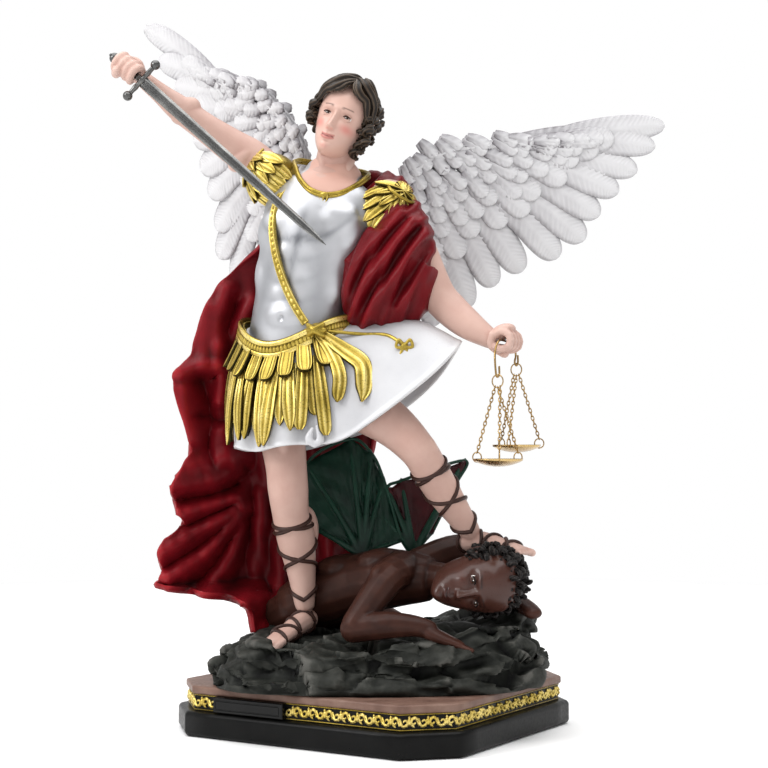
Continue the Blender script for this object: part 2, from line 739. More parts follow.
def ridge_relief(x, z, ridges):
    """How far a surface stands out at x and z: the sum of its rounded crests and creases."""
    out = np.zeros_like(x)
    for rise, width, line in ridges:
        line = smooth_rows(line, 4)
        nearest = np.full(x.shape, np.inf)
        for (start_x, start_z), (end_x, end_z) in zip(line, line[1:]):
            run_x, run_z = end_x - start_x, end_z - start_z
            share = ((x - start_x) * run_x + (z - start_z) * run_z) / (run_x**2 + run_z**2)
            share = np.clip(share, 0, 1)
            nearest = np.minimum(
                nearest, np.hypot(x - start_x - share * run_x, z - start_z - share * run_z)
            )
        out += rise * np.exp(-((nearest / width) ** 2))
    return out


def cape_surface(columns, rows):
    """The cape as a grid of points, from its free edge at the viewer's left to its far end."""
    heights = np.linspace(CAPE_EDGE[0][0], CAPE_EDGE[-1][0], rows)
    edge, back = smooth_rows(sorted(CAPE_EDGE), 4), smooth_rows(sorted(CAPE_BACK), 6)
    edge_x, edge_y = (np.interp(heights, edge[:, 0], edge[:, k])[:, None] for k in (1, 2))
    end_x, end_y = (np.interp(heights, back[:, 0], back[:, k])[:, None] for k in (1, 2))
    across = np.linspace(0, 1, columns)[None, :]
    z = np.repeat(heights[:, None], columns, 1)
    x = edge_x + (end_x - edge_x) * across**0.9
    y = edge_y + (end_y - edge_y) * np.sin(np.minimum(across * 1.9, 1) * math.pi / 2)
    y = y - 16 * np.maximum(0, across - 0.55) * (z > 300) + 10 * np.maximum(0, across - 0.6) * (z <= 300)
    behind = 1 - np.clip(1 - across * 2.4, 0, 1)
    loose = np.clip((470 - z) / 150, 0, 1)
    hang = np.cos(x * 0.13 + z * 0.012 + 0.6 * np.sin(z * 0.02)) + 0.45 * np.cos(x * 0.31 - z * 0.02)
    y = y + 5.0 * hang * behind * loose
    y = y - ridge_relief(x, z, CAPE_RIDGES) * np.clip(1.9 - across * 3.6, 0, 1)
    return np.stack([x, y, z], -1)


def shoulder_cloth(sides=48, steps=5):
    """The part of the cape that wraps his left upper arm in long diagonal folds."""
    points, faces = tube(ARM_CLOTH, sides, (0, 1, 0), steps, 0.5)
    levels = smooth_rows(sorted(ARM_CLOTH, key=lambda level: level[2]), 4)
    middle, depth = (np.interp(points[:, 2], levels[:, 2], levels[:, k]) for k in (1, 4))
    facing = np.clip((middle - points[:, 1]) / depth + 0.3, 0, 1)
    points[:, 1] -= ridge_relief(points[:, 0], points[:, 2], ARM_RIDGES) * facing
    nape = tube([(-30, 22, 446, 12, 6), (-12, 18, 448, 14, 8), (8, 10, 446, 14, 10)], 14, (0, 1, 0), 3)
    return [(points, faces), nape]


def fallen_body():
    """The dark figure lying face down under the archangel's feet."""
    forms = [
        tube(
            [
                (-66, 34, 96, 24, 22), (-40, 22, 106, 27, 24), (-12, 6, 116, 26, 25), (14, -8, 121, 32, 24),
                (34, -16, 121, 24, 20)
            ],
            16, (0, 0, 1)
        ),
        tube(
            [
                (20, -22, 130, 15, 15), (8, -48, 124, 14, 15), (-6, -62, 106, 12, 12.5),
                (-18, -71, 89, 11, 11)
            ],
            12
        ),
        tube(
            [
                (-20, -71, 86, 11, 10), (6, -78, 90, 11, 10), (28, -83, 90, 8.5, 8.5),
                (40, -85, 87, 7.5, 6.5)
            ],
            12
        ),
        tube([(40, -86, 85, 8, 6), (52, -88, 80, 9.5, 5), (62, -89, 76, 8.5, 4)], 10, (0, 0, 1)),
        tube(
            [
                (34, 2, 128, 17, 16), (62, 14, 138, 17, 15), (86, 20, 140, 15, 14), (98, 8, 132, 12, 13),
                (112, -16, 108, 9, 9)
            ],
            12
        ),
        tube([(112, -18, 104, 8, 7), (120, -34, 99, 9, 6), (124, -44, 96, 8, 5)], 10, (0, 0, 1)),
        tube([(38, -18, 122, 15, 14), (54, -34, 122, 13, 13)], 12),
        tube([(-62, 40, 94, 20, 19), (-34, 66, 88, 17, 17), (-2, 84, 80, 14, 14), (26, 88, 70, 9, 9)], 12),
        tube(
            [(-70, 30, 92, 19, 18), (-92, 52, 78, 15, 15), (-88, 76, 66, 11, 11), (-66, 92, 60, 8, 8)], 12
        ),
        tube([(24, 88, 68, 7, 7), (42, 86, 62, 8, 5)], 8),
        ball((6, -12, 134), (24, 16, 12)),
        ball((-22, 10, 128), (30, 18, 12)),
    ]
    for k in range(4):
        start = np.array((60, -93 + 3.6 * k, 76.5))
        tip = start + (13 - abs(k - 1.2), -3 + 1.6 * k, -4.5)
        forms.append(tube([(*start, 2.4, 2.4), (*(start + tip) / 2, 2.5, 2.5), (*tip, 2.0, 2.0)], 6))
    return forms


FALLEN_HEAD_CENTRE = np.array((80.0, -50.0, 121.0))
FALLEN_HEAD_SIZE = 70.0
FALLEN_HEAD_AXES = np.array([(0.10, 0.26, -0.96), (0.20, 0.935, 0.27), (0.97, -0.22, 0.04)])
BAT_WINGS = [
    (
        (-12, 14, 136),
        [(-62, 22, 164), (-60, 28, 214), (-24, 30, 235), (-6, 28, 224), (5, 26, 201), (20, 18, 150)], 0.04
    ),
    (
        (30, 22, 138),
        [(2, 24, 172), (8, 26, 194), (20, 28, 200), (74, 42, 217), (66, 38, 196), (46, 30, 156)], 0.05
    ),
]
ROCK_LEVELS = [
    # height above the plinth, share of the outline, ledge roughness
    (0.0, 1.0, 0.02),
    (7.0, 1.02, 0.05),
    (14.0, 0.99, 0.04),
    (19.0, 0.93, 0.06),
    (24.0, 0.95, 0.05),
    (31.0, 0.90, 0.05),
    (35.0, 0.84, 0.05),
]
ROCK_HALF_WIDTH = 131.0
ROCK_HALF_DEPTH = 106.0


def rock_shift(height):
    """The rock leans to the viewer's right as it rises."""
    return 0.30 * height


def rock_top(x, y):
    """Height of the rock's upper face: low at the left foot, high below the fallen head."""
    rise = 1 / (1 + math.exp(-(x - 62) / 20))
    wave = 2.5 * math.sin(x * 0.07 + y * 0.05) + 2.0 * math.sin(y * 0.11 - x * 0.03)
    return PLINTH_TOP + 34 + 22 * rise * (1 - 0.25 * abs(y) / 100) + wave


WING_LEFT = (
    (30, 48, 460),
    (0.985, 0.17, 0.0),
    (0.0, 0.0, 1.0),
    [(-20, -34), (-6, -4), (12, 17), (44, 30), (104, 34), (150, 36)],
    [
        (220, 49), (208, 24), (187, -2), (166, -26), (150, -52), (118, -72), (80, -86), (54, -108),
        (18, -128)
    ],
)
WING_RIGHT = (
    (-64, 50, 458),
    (-0.59, 0.45, 0.49),
    (0.0, -0.2, 0.97),
    [(-8, -34), (-4, -4), (4, 24), (22, 40), (60, 52), (100, 50), (146, 39)],
    [
        (225, 49), (203, 22), (180, 6), (163, -12), (156, -42), (142, -62), (128, -90), (126, -118),
        (106, -134), (50, -122)
    ],
)


def octagon(width, depth, corner):
    w, d = width / 2, depth / 2
    return [
        (-w, -d + corner), (-w + corner, -d), (w - corner, -d), (w, -d + corner), (w, d - corner),
        (w - corner, d), (-w + corner, d), (-w, d - corner)
    ]


SWORD_GUARD = np.array((-193.5, -26.5, 528.5))
SWORD_TIP = np.array((-40.6, -76.0, 386.7))
SWORD_SIDE = unit((0.50, 0.0, 0.82))
HOOKS = [
    # where the wire leaves the fist, where the ring hangs, centre of the pan's rim
    (np.array((91.5, -81.0, 305.0)), np.array((93.4, -82.0, 279.5)), np.array((93.6, -82.0, 219.0))),
    (np.array((111.0, -42.0, 305.5)), np.array((111.5, -41.0, 290.5)), np.array((111.5, -40.5, 230.0))),
]
RING_PLANE = unit((0.8, -0.6, 0.0))


def wire_path():
    """The bent wire through the left fist, with an open hook at each end."""
    path = []
    through = np.cross((0, 0, 1), RING_PLANE)
    for k, (leave, hang, _) in enumerate(HOOKS):
        low = hang + np.array([0, 0, HANG_RING - RING_WIRE - WIRE_RADIUS - HANG_CLEARANCE])
        bend = [low + through * 2.3 + (0, 0, 8.0), low + through * 2.4 + (0, 0, 2.4), low]
        bend += [low - through * 2.4 + (0, 0, 2.8), leave - (0, 0, 3)]
        path += bend if k == 0 else bend[::-1]
        if k == 0:
            path += [
                FIST_LEFT - GRIP_LEFT * 15 + (0, 0, -0.5), FIST_LEFT,
                FIST_LEFT + GRIP_LEFT * 15 + (0, 0, -0.5)
            ]
    return path


def torus(centre, plane, radius, wire, segments=12, sides=4, tall=(0, 0, 1)):
    """A ring of wire standing in the plane of the direction plane and the direction tall."""
    plane, tall = unit(plane), unit(tall)
    normal = np.cross(plane, tall)
    points = []
    for a in np.linspace(0, 2 * math.pi, segments, endpoint=False):
        way = plane * math.cos(a) + tall * math.sin(a)
        for b in np.linspace(0, 2 * math.pi, sides, endpoint=False):
            points.append(
                np.array(centre) + way * (radius + wire * math.cos(b)) + normal * wire * math.sin(b)
            )
    faces = []
    for i in range(segments):
        for j in range(sides):
            k, m = (j + 1) % sides, (i + 1) % segments
            faces.append([i * sides + j, m * sides + j, m * sides + k, i * sides + k])
    return np.array(points), faces


# Head
NOSE_LINE = [
    # height on the face, how far the nose stands out, half width
    (0.10, 0.004, 0.050),
    (0.05, 0.010, 0.036),
    (0.00, 0.030, 0.028),
    (-0.06, 0.052, 0.029),
    (-0.12, 0.078, 0.034),
    (-0.155, 0.096, 0.042),
    (-0.178, 0.088, 0.044),
    (-0.198, 0.045, 0.036),
    (-0.214, 0.010, 0.025),
    (-0.235, 0.0, 0.02),
]
FACE_RELIEF = [
    # side, height, spread sideways, spread upwards, how far out
    (0.120, 0.085, 0.075, 0.020, 0.018),
    (0.132, 0.000, 0.062, 0.040, -0.046),
    (0.060, 0.010, 0.022, 0.040, -0.018),
    (0.046, -0.178, 0.017, 0.019, 0.022),
    (0.165, -0.120, 0.070, 0.060, 0.020),
    (0.120, -0.215, 0.030, 0.045, -0.008),
    (0.000, -0.290, 0.105, 0.075, 0.020),
    (0.000, -0.240, 0.011, 0.020, -0.007),
    (0.000, -0.362, 0.060, 0.016, -0.016),
    (0.000, -0.432, 0.062, 0.040, 0.030),
    (0.215, 0.060, 0.040, 0.090, -0.012),
]
EYE_SIDE = 0.132
EYE_HEIGHT = 0.0
EYE_DEPTH = -0.268
EYE_RADIUS = 0.056
LIP_HEIGHT = -0.300


def face_out(x, z):
    """How far the face stands out from its plain oval, in head heights."""
    out = np.zeros_like(x)
    for across, up, spread_x, spread_z, height in FACE_RELIEF:
        for mirrored in {across, -across}:
            out += height * np.exp(
                -((x - mirrored) ** 2) / (2 * spread_x**2) - (z - up) ** 2 / (2 * spread_z**2)
            )
    nose = np.array(NOSE_LINE)[::-1]
    high, wide = np.interp(z, nose[:, 0], nose[:, 1], 0, 0), np.interp(z, nose[:, 0], nose[:, 2])
    out += high * np.exp(-((np.abs(x) / wide) ** 2.4))
    smile = LIP_HEIGHT + 2.2 * x**2
    reach = np.clip(1 - (x / 0.092) ** 2, 0, 1)
    bow = 0.004 * np.exp(-((x / 0.012) ** 2)) - 0.003 * np.exp(-(((np.abs(x) - 0.026) / 0.016) ** 2))
    upper = np.exp(-(((z - smile - 0.016 + bow) / 0.012) ** 2))
    lower = np.exp(-(((z - smile + 0.022) / 0.016) ** 2))
    part = np.exp(-(((z - smile) / 0.0055) ** 2))
    full = 0.019 * upper + 0.023 * lower * np.clip(1 - (x / 0.085) ** 2, 0, 1)
    out += reach**0.7 * full - 0.020 * part * reach**0.5
    return out


def face_colours(x, z, front, skin, lip, blush, brow, shadow):
    """The paint of the face: lips, cheeks, brows and the shade round the eyes."""
    colours = np.broadcast_to(np.array(skin, float), (*x.shape, 3)).copy()

    def lay(colour, amount):
        amount = np.clip(amount, 0, 1)[..., None] * front[..., None]
        colours[...] = colours * (1 - amount) + np.array(colour) * amount

    smile = LIP_HEIGHT + 2.2 * x**2
    for side in (-1, 1):
        lay(blush, 0.75 * np.exp(-(((x - side * 0.18) / 0.07) ** 2) - ((z + 0.145) / 0.055) ** 2))
        lay(shadow, 0.55 * np.exp(-(((x - side * EYE_SIDE) / 0.065) ** 2) - ((z - 0.032) / 0.022) ** 2))
        lay(blush, 0.5 * np.exp(-(((x - side * 0.03) / 0.02) ** 2) - ((z + 0.205) / 0.012) ** 2))
        arch = 0.088 + 0.018 * np.sin(np.clip((side * x - 0.04) / 0.18, 0, 1) * math.pi * 0.8)
        arch = arch - 0.12 * np.clip(side * x - 0.16, 0, 1)
        thick = 0.011 * np.clip((0.245 - side * x) / 0.16, 0.15, 1)
        ends = np.clip((side * x - 0.045) / 0.03, 0, 1) * np.clip((0.235 - side * x) / 0.03, 0, 1)
        lay(brow, 0.75 * ends * np.clip(1.5 - np.abs(z - arch) / thick, 0, 1))
        lay(shadow, 0.22 * np.exp(-(((x - side * 0.052) / 0.016) ** 2) - ((z + 0.10) / 0.10) ** 2))
        lay(shadow, 0.25 * np.exp(-(((x - side * EYE_SIDE) / 0.06) ** 2) - ((z + 0.045) / 0.02) ** 2))
    reach = np.clip(1 - (x / 0.094) ** 2, 0, 1) ** 0.5
    lips = np.exp(-(((z - smile - 0.014) / (0.017 * reach + 1e-3)) ** 4))
    lips = lips + np.exp(-(((z - smile + 0.020) / (0.022 * reach + 1e-3)) ** 4))
    lay(lip, 0.72 * np.clip(lips * 1.1, 0, 1) * (np.abs(x) < 0.092))
    lay(np.array(lip) * 0.35, np.exp(-(((z - smile) / 0.005) ** 2)) * (np.abs(x) < 0.088))
    lay(blush, 0.35 * np.exp(-((x / 0.05) ** 2) - ((z + 0.43) / 0.03) ** 2))
    lay(shadow, 0.45 * np.exp(-((x / 0.045) ** 2) - ((z + 0.222) / 0.014) ** 2))
    lay(shadow, 0.35 * np.exp(-((x / 0.05) ** 2) - ((z + 0.362) / 0.014) ** 2))
    return colours


FACE_ROWS = 115
FACE_COLUMNS = 85


def face_grid(size, columns, rows, colours):
    """The head's skin, finest in front, looking along -y and centred on the origin."""
    levels = smooth_rows(HEAD_PROFILE, 6)
    share = np.linspace(0, 1, rows)
    heights = levels[0, 0] + (levels[-1, 0] - levels[0, 0]) * (share - 0.05 * np.sin(2 * math.pi * share))
    wide, fore, back = (np.interp(heights, levels[:, 0], levels[:, k]) for k in (1, 2, 3))
    around = np.linspace(-math.pi, math.pi, columns, endpoint=False)
    turn = around - 0.45 * np.sin(around)
    side, ahead = np.sin(turn), -np.cos(turn)
    x = wide[:, None] * side
    y = np.where(ahead < 0, fore[:, None] * ahead, back[:, None] * ahead)
    z = np.repeat(heights[:, None], columns, 1)
    front = np.clip(-ahead * 2.2, 0, 1)[None, :] * np.ones_like(x)
    y = y - face_out(x, z) * np.clip(-ahead, 0, 1)[None, :] ** 0.5
    tints = face_colours(x, z, front, *colours)
    points = np.stack([x, y, z], -1).reshape(-1, 3) * size
    return (points, closed_rings(rows, columns, True)), tints.reshape(-1, 3)


def lid_edge(u, upper):
    """Height of a lid's edge across the eye, u from -1 at its left end to 1."""
    if upper:
        return 0.025 * np.clip(1 - u**2, 0, 1) ** 0.75
    return -0.019 * np.clip(1 - u**2, 0, 1) ** 0.8


def eyelids(size):
    """Upper and lower lids over both eyes, and the line of the lashes."""
    lids, lashes = [], []
    for side in (-1, 1):
        centre = np.array((side * EYE_SIDE, EYE_DEPTH, EYE_HEIGHT))
        u = np.linspace(-1, 1, 25)
        for upper in (True, False):
            reach = EYE_RADIUS * 1.06
            edge = lid_edge(u, upper)
            far = 0.050 if upper else -0.040
            grid = []
            for share in (0, 0.2, 0.5, 0.8, 1):
                z = edge + (far - edge) * share
                x = u * 0.052 * (1 - 0.1 * share)
                y = -np.sqrt(np.maximum(reach**2 - x**2 * 0.8 - z**2 * 0.9, 0.0004))
                grid.append(np.stack([x, y, z], -1) + centre)
            lids.append(slab(np.array(grid) * size, 0.007 * size))
            rim = grid[0] * size
            thick = 0.0065 if upper else 0.0045
            lids.append(tube([(*p, thick * size, thick * size) for p in rim[1:-1]], 8, (0, 0.3, 1), 1))
            if upper:
                line = [
                    (
                        *(p + (0, -0.006 * size, -0.002 * size)), 0.0075 * size, 0.0075 * size
                    ) for p in rim[1:-1]
                ]
                lashes.append(tube(line, 6, (0, 0, 1), 1))
    return lids, lashes


def eyeballs(size):
    """Both eyes with tones for white, iris and pupil, looking straight ahead."""
    forms = []
    for side in (-1, 1):
        centre = np.array((side * EYE_SIDE, EYE_DEPTH, EYE_HEIGHT))
        rings, segments = 26, 32
        reach = np.linspace(0.0, math.pi * 0.6, rings)
        turn = np.linspace(0, 2 * math.pi, segments, endpoint=False)
        x = np.sin(reach)[:, None] * np.cos(turn)
        z = np.sin(reach)[:, None] * np.sin(turn)
        y = -np.repeat(np.cos(reach)[:, None], segments, 1)
        look = np.array((0.0, -0.10))
        away = np.hypot(x - look[0], z - look[1])
        tone = np.where(away < 0.30, 0.03, np.where(away < 0.56, 0.22, 0.95))
        glint = np.hypot(x - look[0] + 0.14, z - look[1] - 0.16) < 0.09
        tone = np.where(glint, 1.0, tone)
        points = (np.stack([x, y, z], -1) * EYE_RADIUS + centre).reshape(-1, 3) * size
        faces = grid_faces(rings, segments, 0, False, True)
        forms.append((points, faces, tone.reshape(-1)))
    return forms


def ears(size):
    forms = []
    for side in (-1, 1):
        rim = [
            (0.335, -0.01, 0.06), (0.375, 0.03, 0.09), (0.385, 0.08, 0.04), (0.37, 0.07, -0.05),
            (0.33, 0.02, -0.11)
        ]
        forms.append(
            tube(
                [(side * x * size, y * size, z * size, 0.018 * size, 0.018 * size) for x, y, z in rim], 10,
                (1, 0, 0), 4
            )
        )
        forms.append(
            ball(
                (side * 0.345 * size, 0.035 * size, -0.005 * size),
                (0.018 * size, 0.045 * size, 0.085 * size)
            )
        )
    return forms


SKULL_CENTRE = np.array((0, 0.055, 0.10))


def on_skull(rise, around, out, size):
    """A point over the hair: rise and around in degrees, around 0 in front and 90 at +x."""
    a, b = math.radians(around), math.radians(rise)
    reach = np.array((0.365, 0.445, 0.42)) * out
    spot = np.array((math.sin(a) * math.cos(b), -math.cos(a) * math.cos(b), math.sin(b))) * reach
    return (spot + SKULL_CENTRE) * size


def lock(points, thick, size, flat=0.62, curl=0.35, seed=0):
    """One lock of hair through the points: strand grooves run along it."""
    count = len(points)
    rows = []
    for k, p in enumerate(points):
        share = k / (count - 1)
        belly = math.sin(math.pi * min(1.0, 0.14 + 0.82 * share)) ** 0.8
        wide = thick * (0.42 + 0.62 * belly) * (1 - curl * share**3)
        rows.append((*p, wide * size, wide * flat * size))
    middle = np.mean(points, axis=0)
    out = unit(middle - SKULL_CENTRE * size)
    return grooved(tube(rows, 20, out, 4, 0.8), 20, 5, 0.13, 2.0 + 0.7 * math.sin(seed * 1.9))


def curl(centre, way, out, radius, thick, size, turns=1.4, seed=0.0):
    """A springy curl that winds round a short line."""
    way, out = unit(way), unit(out)
    side = np.cross(way, out)
    path = []
    for t in np.linspace(0, 1, 11):
        a = seed + 2 * math.pi * turns * t
        reach = radius * (1 - 0.35 * t)
        path.append(
            centre + way * radius * 2.6 * (t - 0.5) + (out * math.cos(a) + side * math.sin(a)) * reach
        )
    return lock(path, thick, size, 0.75, 0.3, seed)


CURL_ROWS = [
    # rise in degrees, how many, first and last place round the head, how far out
    (22, 11, 70, 290, 1.04),
    (2, 12, 66, 294, 1.06),
    (-16, 12, 64, 296, 1.07),
    (-31, 11, 66, 290, 1.05),
]


def curly_hair(size):
    """Broad waves from a side part over the crown, and rows of full curls down the sides and nape."""
    forms = [ball((0, 0.10 * size, 0.13 * size), (0.37 * size, 0.38 * size, 0.385 * size), sides=40)]
    for layer, (count, thick, out) in enumerate(((8, 0.064, 1.0), (8, 0.056, 1.06))):
        for side in (-1, 1):
            for k in range(count):
                share = (k + 0.5 * layer) / count
                ending = side * (62 + 112 * share)
                start = 12 + side * (4 + 66 * share)
                path = []
                for n in range(11):
                    t = n / 10
                    wave = math.sin(t * 10.0 + k * 1.9 + layer * 1.7 + side)
                    rise = 76 + 10 * share - (62 + 10 * share) * t**1.05
                    around = start + (ending - start) * min(1.0, t * 1.3) ** 0.85 + 10 * wave * (
                        0.35 + 0.65 * t
                    )
                    path.append(on_skull(rise, around, out + 0.035 * math.cos(t * 10.0 + k * 1.3), size))
                forms.append(lock(path, thick, size, 0.72, 0.3, k))
    for row, (rise, count, first, last, out) in enumerate(CURL_ROWS):
        for k in range(count):
            around = first + (last - first) * (k + 0.5 * (row % 2)) / (count - 0.5)
            shift = 5 * math.sin(k * 2.7 + row * 1.9)
            spot = on_skull(rise + shift, around, out + 0.03 * math.sin(k * 1.9 + row), size)
            away = spot - SKULL_CENTRE * size
            lean = 0.6 * math.sin(k * 1.3 + row * 2.2)
            way = np.array((lean, 0.3 * math.sin(k * 2.0), -1.0))
            forms.append(
                curl(
                    spot, way, away, (0.050 + 0.010 * math.sin(k + row)) * size, 0.050, size, 1.1,
                    k * 2.1 + row
                )
            )
    return forms


FRINGE = [
    # the locks that frame the face, as lines of x, y and z in head heights, and how thick
    (
        0.060,
        [
            (0.06, -0.26, 0.50), (-0.02, -0.35, 0.44), (-0.10, -0.39, 0.36), (-0.17, -0.385, 0.30),
            (-0.22, -0.35, 0.285), (-0.27, -0.32, 0.24), (-0.315, -0.27, 0.155), (-0.345, -0.25, 0.13)
        ]
    ),
    (
        0.060,
        [
            (0.06, -0.22, 0.53), (-0.06, -0.31, 0.50), (-0.15, -0.345, 0.43), (-0.23, -0.32, 0.37),
            (-0.30, -0.28, 0.30), (-0.345, -0.22, 0.21), (-0.385, -0.19, 0.16), (-0.375, -0.18, 0.06)
        ]
    ),
    (
        0.058,
        [
            (0.08, -0.26, 0.50), (0.13, -0.35, 0.44), (0.17, -0.385, 0.37), (0.23, -0.365, 0.31),
            (0.29, -0.31, 0.28), (0.325, -0.27, 0.20), (0.35, -0.245, 0.11), (0.385, -0.21, 0.06)
        ]
    ),
    (
        0.060,
        [
            (0.08, -0.22, 0.53), (0.17, -0.30, 0.50), (0.26, -0.30, 0.42), (0.33, -0.24, 0.35),
            (0.385, -0.19, 0.25), (0.40, -0.17, 0.14), (0.42, -0.13, 0.06)
        ]
    ),
    (
        0.044,
        [
            (0.06, -0.31, 0.47), (-0.01, -0.38, 0.40), (-0.05, -0.405, 0.335), (-0.11, -0.40, 0.295),
            (-0.16, -0.385, 0.32)
        ]
    ),
    (
        0.040,
        [
            (0.09, -0.30, 0.48), (0.11, -0.375, 0.41), (0.15, -0.395, 0.34), (0.20, -0.37, 0.305),
            (0.235, -0.355, 0.335)
        ]
    ),
    (
        0.050,
        [
            (0.07, -0.05, 0.56), (0.0, -0.17, 0.57), (-0.09, -0.25, 0.525), (-0.19, -0.27, 0.465),
            (-0.28, -0.22, 0.39), (-0.35, -0.16, 0.31)
        ]
    ),
    (
        0.050,
        [
            (0.10, -0.05, 0.56), (0.17, -0.17, 0.56), (0.26, -0.22, 0.50), (0.34, -0.17, 0.41),
            (0.39, -0.10, 0.32)
        ]
    ),
]
SIDE_CURLS = [
    # which side, height, reach and how far forward
    (-1, 0.08, 0.375, -0.20),
    (-1, -0.02, 0.385, -0.17),
    (-1, -0.12, 0.37, -0.14),
    (1, 0.04, 0.395, -0.19),
    (1, -0.07, 0.41, -0.17),
    (1, -0.18, 0.405, -0.15),
    (1, -0.29, 0.375, -0.13),
    (1, -0.36, 0.33, -0.08),
]


def fringe(size):
    forms = []
    for k, (thick, line) in enumerate(FRINGE):
        path = [np.array(p) * size for p in line]
        forms.append(lock(path, thick, size, 0.7, 0.35, k * 1.3))
    for side, height, reach, fore in SIDE_CURLS:
        spot = np.array((side * reach, fore, height)) * size
        forms.append(
            curl(
                spot, (0.2 * side, -0.2, -1), (side, -0.5, 0), 0.050 * size, 0.048, size, 1.15, height * 20
            )
        )
    return forms


# Figure
ARM_MUSCLES = [
    ((-112, 0, 469), (15, 12.5, 9), (0.80, 0, 0.60)),
    ((-104, 10, 470), (14, 9, 12), (0.80, 0, 0.60)),
    ((-160, -4, 508), (14, 9.5, 10.5), (0.80, 0, 0.60)),
    ((-96, 2, 462), (15, 16, 15), (0.80, 0, 0.60)),
]
LEG_MUSCLES = [
    ((-75, -27, 196), (12, 9, 15), (0.1, 0, 1)),
    ((-77, -20, 232), (9, 16, 26), (-0.2, 0, 1)),
    ((-66, 6, 160), (10, 9, 20), (-0.2, 0, 1)),
    ((-58, 4, 162), (9, 9, 18), (-0.1, 0, 1)),
    ((35, -54, 225), (13, 9, 15), (-0.3, 0, 1)),
    ((60, -22, 190), (9, 10, 19), (-0.4, 0, 0.9)),
]


def muscle(centre, radii, way):
    way = unit(way)
    side = unit(np.cross((0, 1, 0), way))
    return ball(centre, radii, (side, np.cross(way, side), way), 20)


def flesh():
    """Neck, arms, hands, legs and feet."""
    forms = [tube(ARM_RIGHT, 28, steps=6), tube(ARM_LEFT, 28, steps=6)]
    forms += [tube(LEG_RIGHT, 30, steps=6), tube(LEG_LEFT, 30, steps=6)]
    forms += [muscle(*m) for m in LEG_MUSCLES]
    for centre, radii, way in ARM_MUSCLES:
        forms.append(muscle(centre, (radii[2], radii[1], radii[0]), way))
    forms += foot(FOOT_RIGHT, 13) + foot(FOOT_LEFT, 13)
    forms += fist(FIST_RIGHT, GRIP_RIGHT, (0.45, 0.85, 0.1))
    forms += fist(FIST_LEFT, GRIP_LEFT, (-0.35, 0.1, 0.9))
    neck = [
        (-41, -5, 431, 29, 31.5), (-40, -5, 440, 28.5, 29), (-38, -4, 450, 24.5, 23),
        (-36, -4, 461, 17.5, 17.2), (-34, -7, 474, 15.5, 15.5), (-31, -8, 488, 16, 16)
    ]
    forms.append(tube(neck, 40, steps=8))
    for side in (-1, 1):
        line = [(-36 + side * 7, -20, 446), (-34 + side * 11, -16, 462), (-31 + side * 15, -8, 478)]
        forms.append(tube([(*p, 3.6, 3.0) for p in line], 12, (0, 1, 0), 4))
    return forms


def breastplate():
    """The bright muscled breastplate with its belly, flanks and lower rim."""
    left, back, up = body_axes()
    forms = [tube(SPINE, sides=56, depth_axis=back, steps=8)]
    for side in (-1, 1):
        forms.append(ball(on_trunk(side * 0.50, 412, -10), (24, 12, 17), (left, back, up), 32))
        forms.append(ball(on_trunk(side * 0.95, 404, -8), (13, 11, 19), (left, back, up), 28))
        for height, wide in ((388, 11), (371, 10.5), (354, 10)):
            forms.append(ball(on_trunk(side * 0.27, height, -6.2), (wide, 7.5, 9.2), (left, back, up), 28))
        forms.append(ball(on_trunk(side * 1.1, 368, -9), (11, 13, 24), (left, back, up), 28))
        forms.append(ball(on_trunk(side * 0.5 + math.pi, 408, -8), (22, 10, 24), (left, back, up), 28))
    forms.append(ball(on_trunk(0, 336, -6), (20, 9, 13), (left, back, up), 28))
    return forms


def dimple(centre, reach, depth):
    """A mesh move that presses a small round hollow into a surface."""
    middle = row_frame([centre])[0]

    def shape(mesh):
        places, normals, _ = mesh_arrays(mesh)
        away = np.linalg.norm(places - middle, axis=1) / (reach * MM)
        places = places - normals * (depth * MM * np.exp(-(away**2)))[:, None]
        mesh.vertices.foreach_set("co", places.reshape(-1))
        mesh.update()

    return shape


def waist_band(height_at, low, high, out, profile, columns=240, rows=9, thickness=3.0):
    """A band round the waist between two heights; profile(v, angle) raises it."""
    angles = np.linspace(-math.pi, math.pi, columns, endpoint=False)
    steps = np.linspace(0, 1, rows)
    grid, tones = [], []
    for v in steps:
        row, shade = [], []
        for angle in angles:
            raised = profile(v, angle)
            row.append(on_trunk(angle, height_at(angle) + low + (high - low) * v, out + raised))
            shade.append(raised)
        grid.append(row)
        tones.append(shade)
    points, faces = slab(np.array(grid)[::-1, ::-1], thickness, closed=True)
    shade = np.array(tones)[::-1, ::-1].reshape(-1)
    shade = np.clip((shade - shade.min()) / (np.ptp(shade) + 1e-6), 0, 1)
    return points, faces, np.concatenate([shade, shade])


def belt_relief(v, angle):
    """Two rims with a pebbled band between them."""
    rims = math.exp(-(((v - 0.10) / 0.085) ** 2)) + math.exp(-(((v - 0.90) / 0.085) ** 2))
    weave = math.sin(angle * 52 + v * 7) * math.sin(angle * 52 - v * 7)
    return 1.1 * rims + (0.45 + 0.4 * weave) * math.exp(-(((v - 0.5) / 0.3) ** 4))


def tab_relief(u, s):
    """A raised outline, a raised inner loop and a sunk middle."""
    edge = np.maximum(np.abs(u), np.clip((s - 0.62) / 0.38, 0, 1) ** 1.2)
    outline = np.exp(-(((edge - 0.93) / 0.10) ** 2))
    loop = np.exp(-(((edge - 0.52) / 0.10) ** 2)) * (s > 0.12)
    return 1.0 * outline + 0.8 * loop + 0.1


def tab_tone(u, s):
    edge = np.maximum(np.abs(u), np.clip((s - 0.62) / 0.38, 0, 1) ** 1.2)
    grooves = np.exp(-(((edge - 0.73) / 0.07) ** 2)) + 0.5 * np.exp(-(((edge - 0.33) / 0.08) ** 2))
    return np.clip(
        0.68 + 0.25 * tab_relief(u, s) - 0.75 * grooves - 0.9 * np.clip(edge - 0.94, 0, 1) * 16, 0, 1
    )


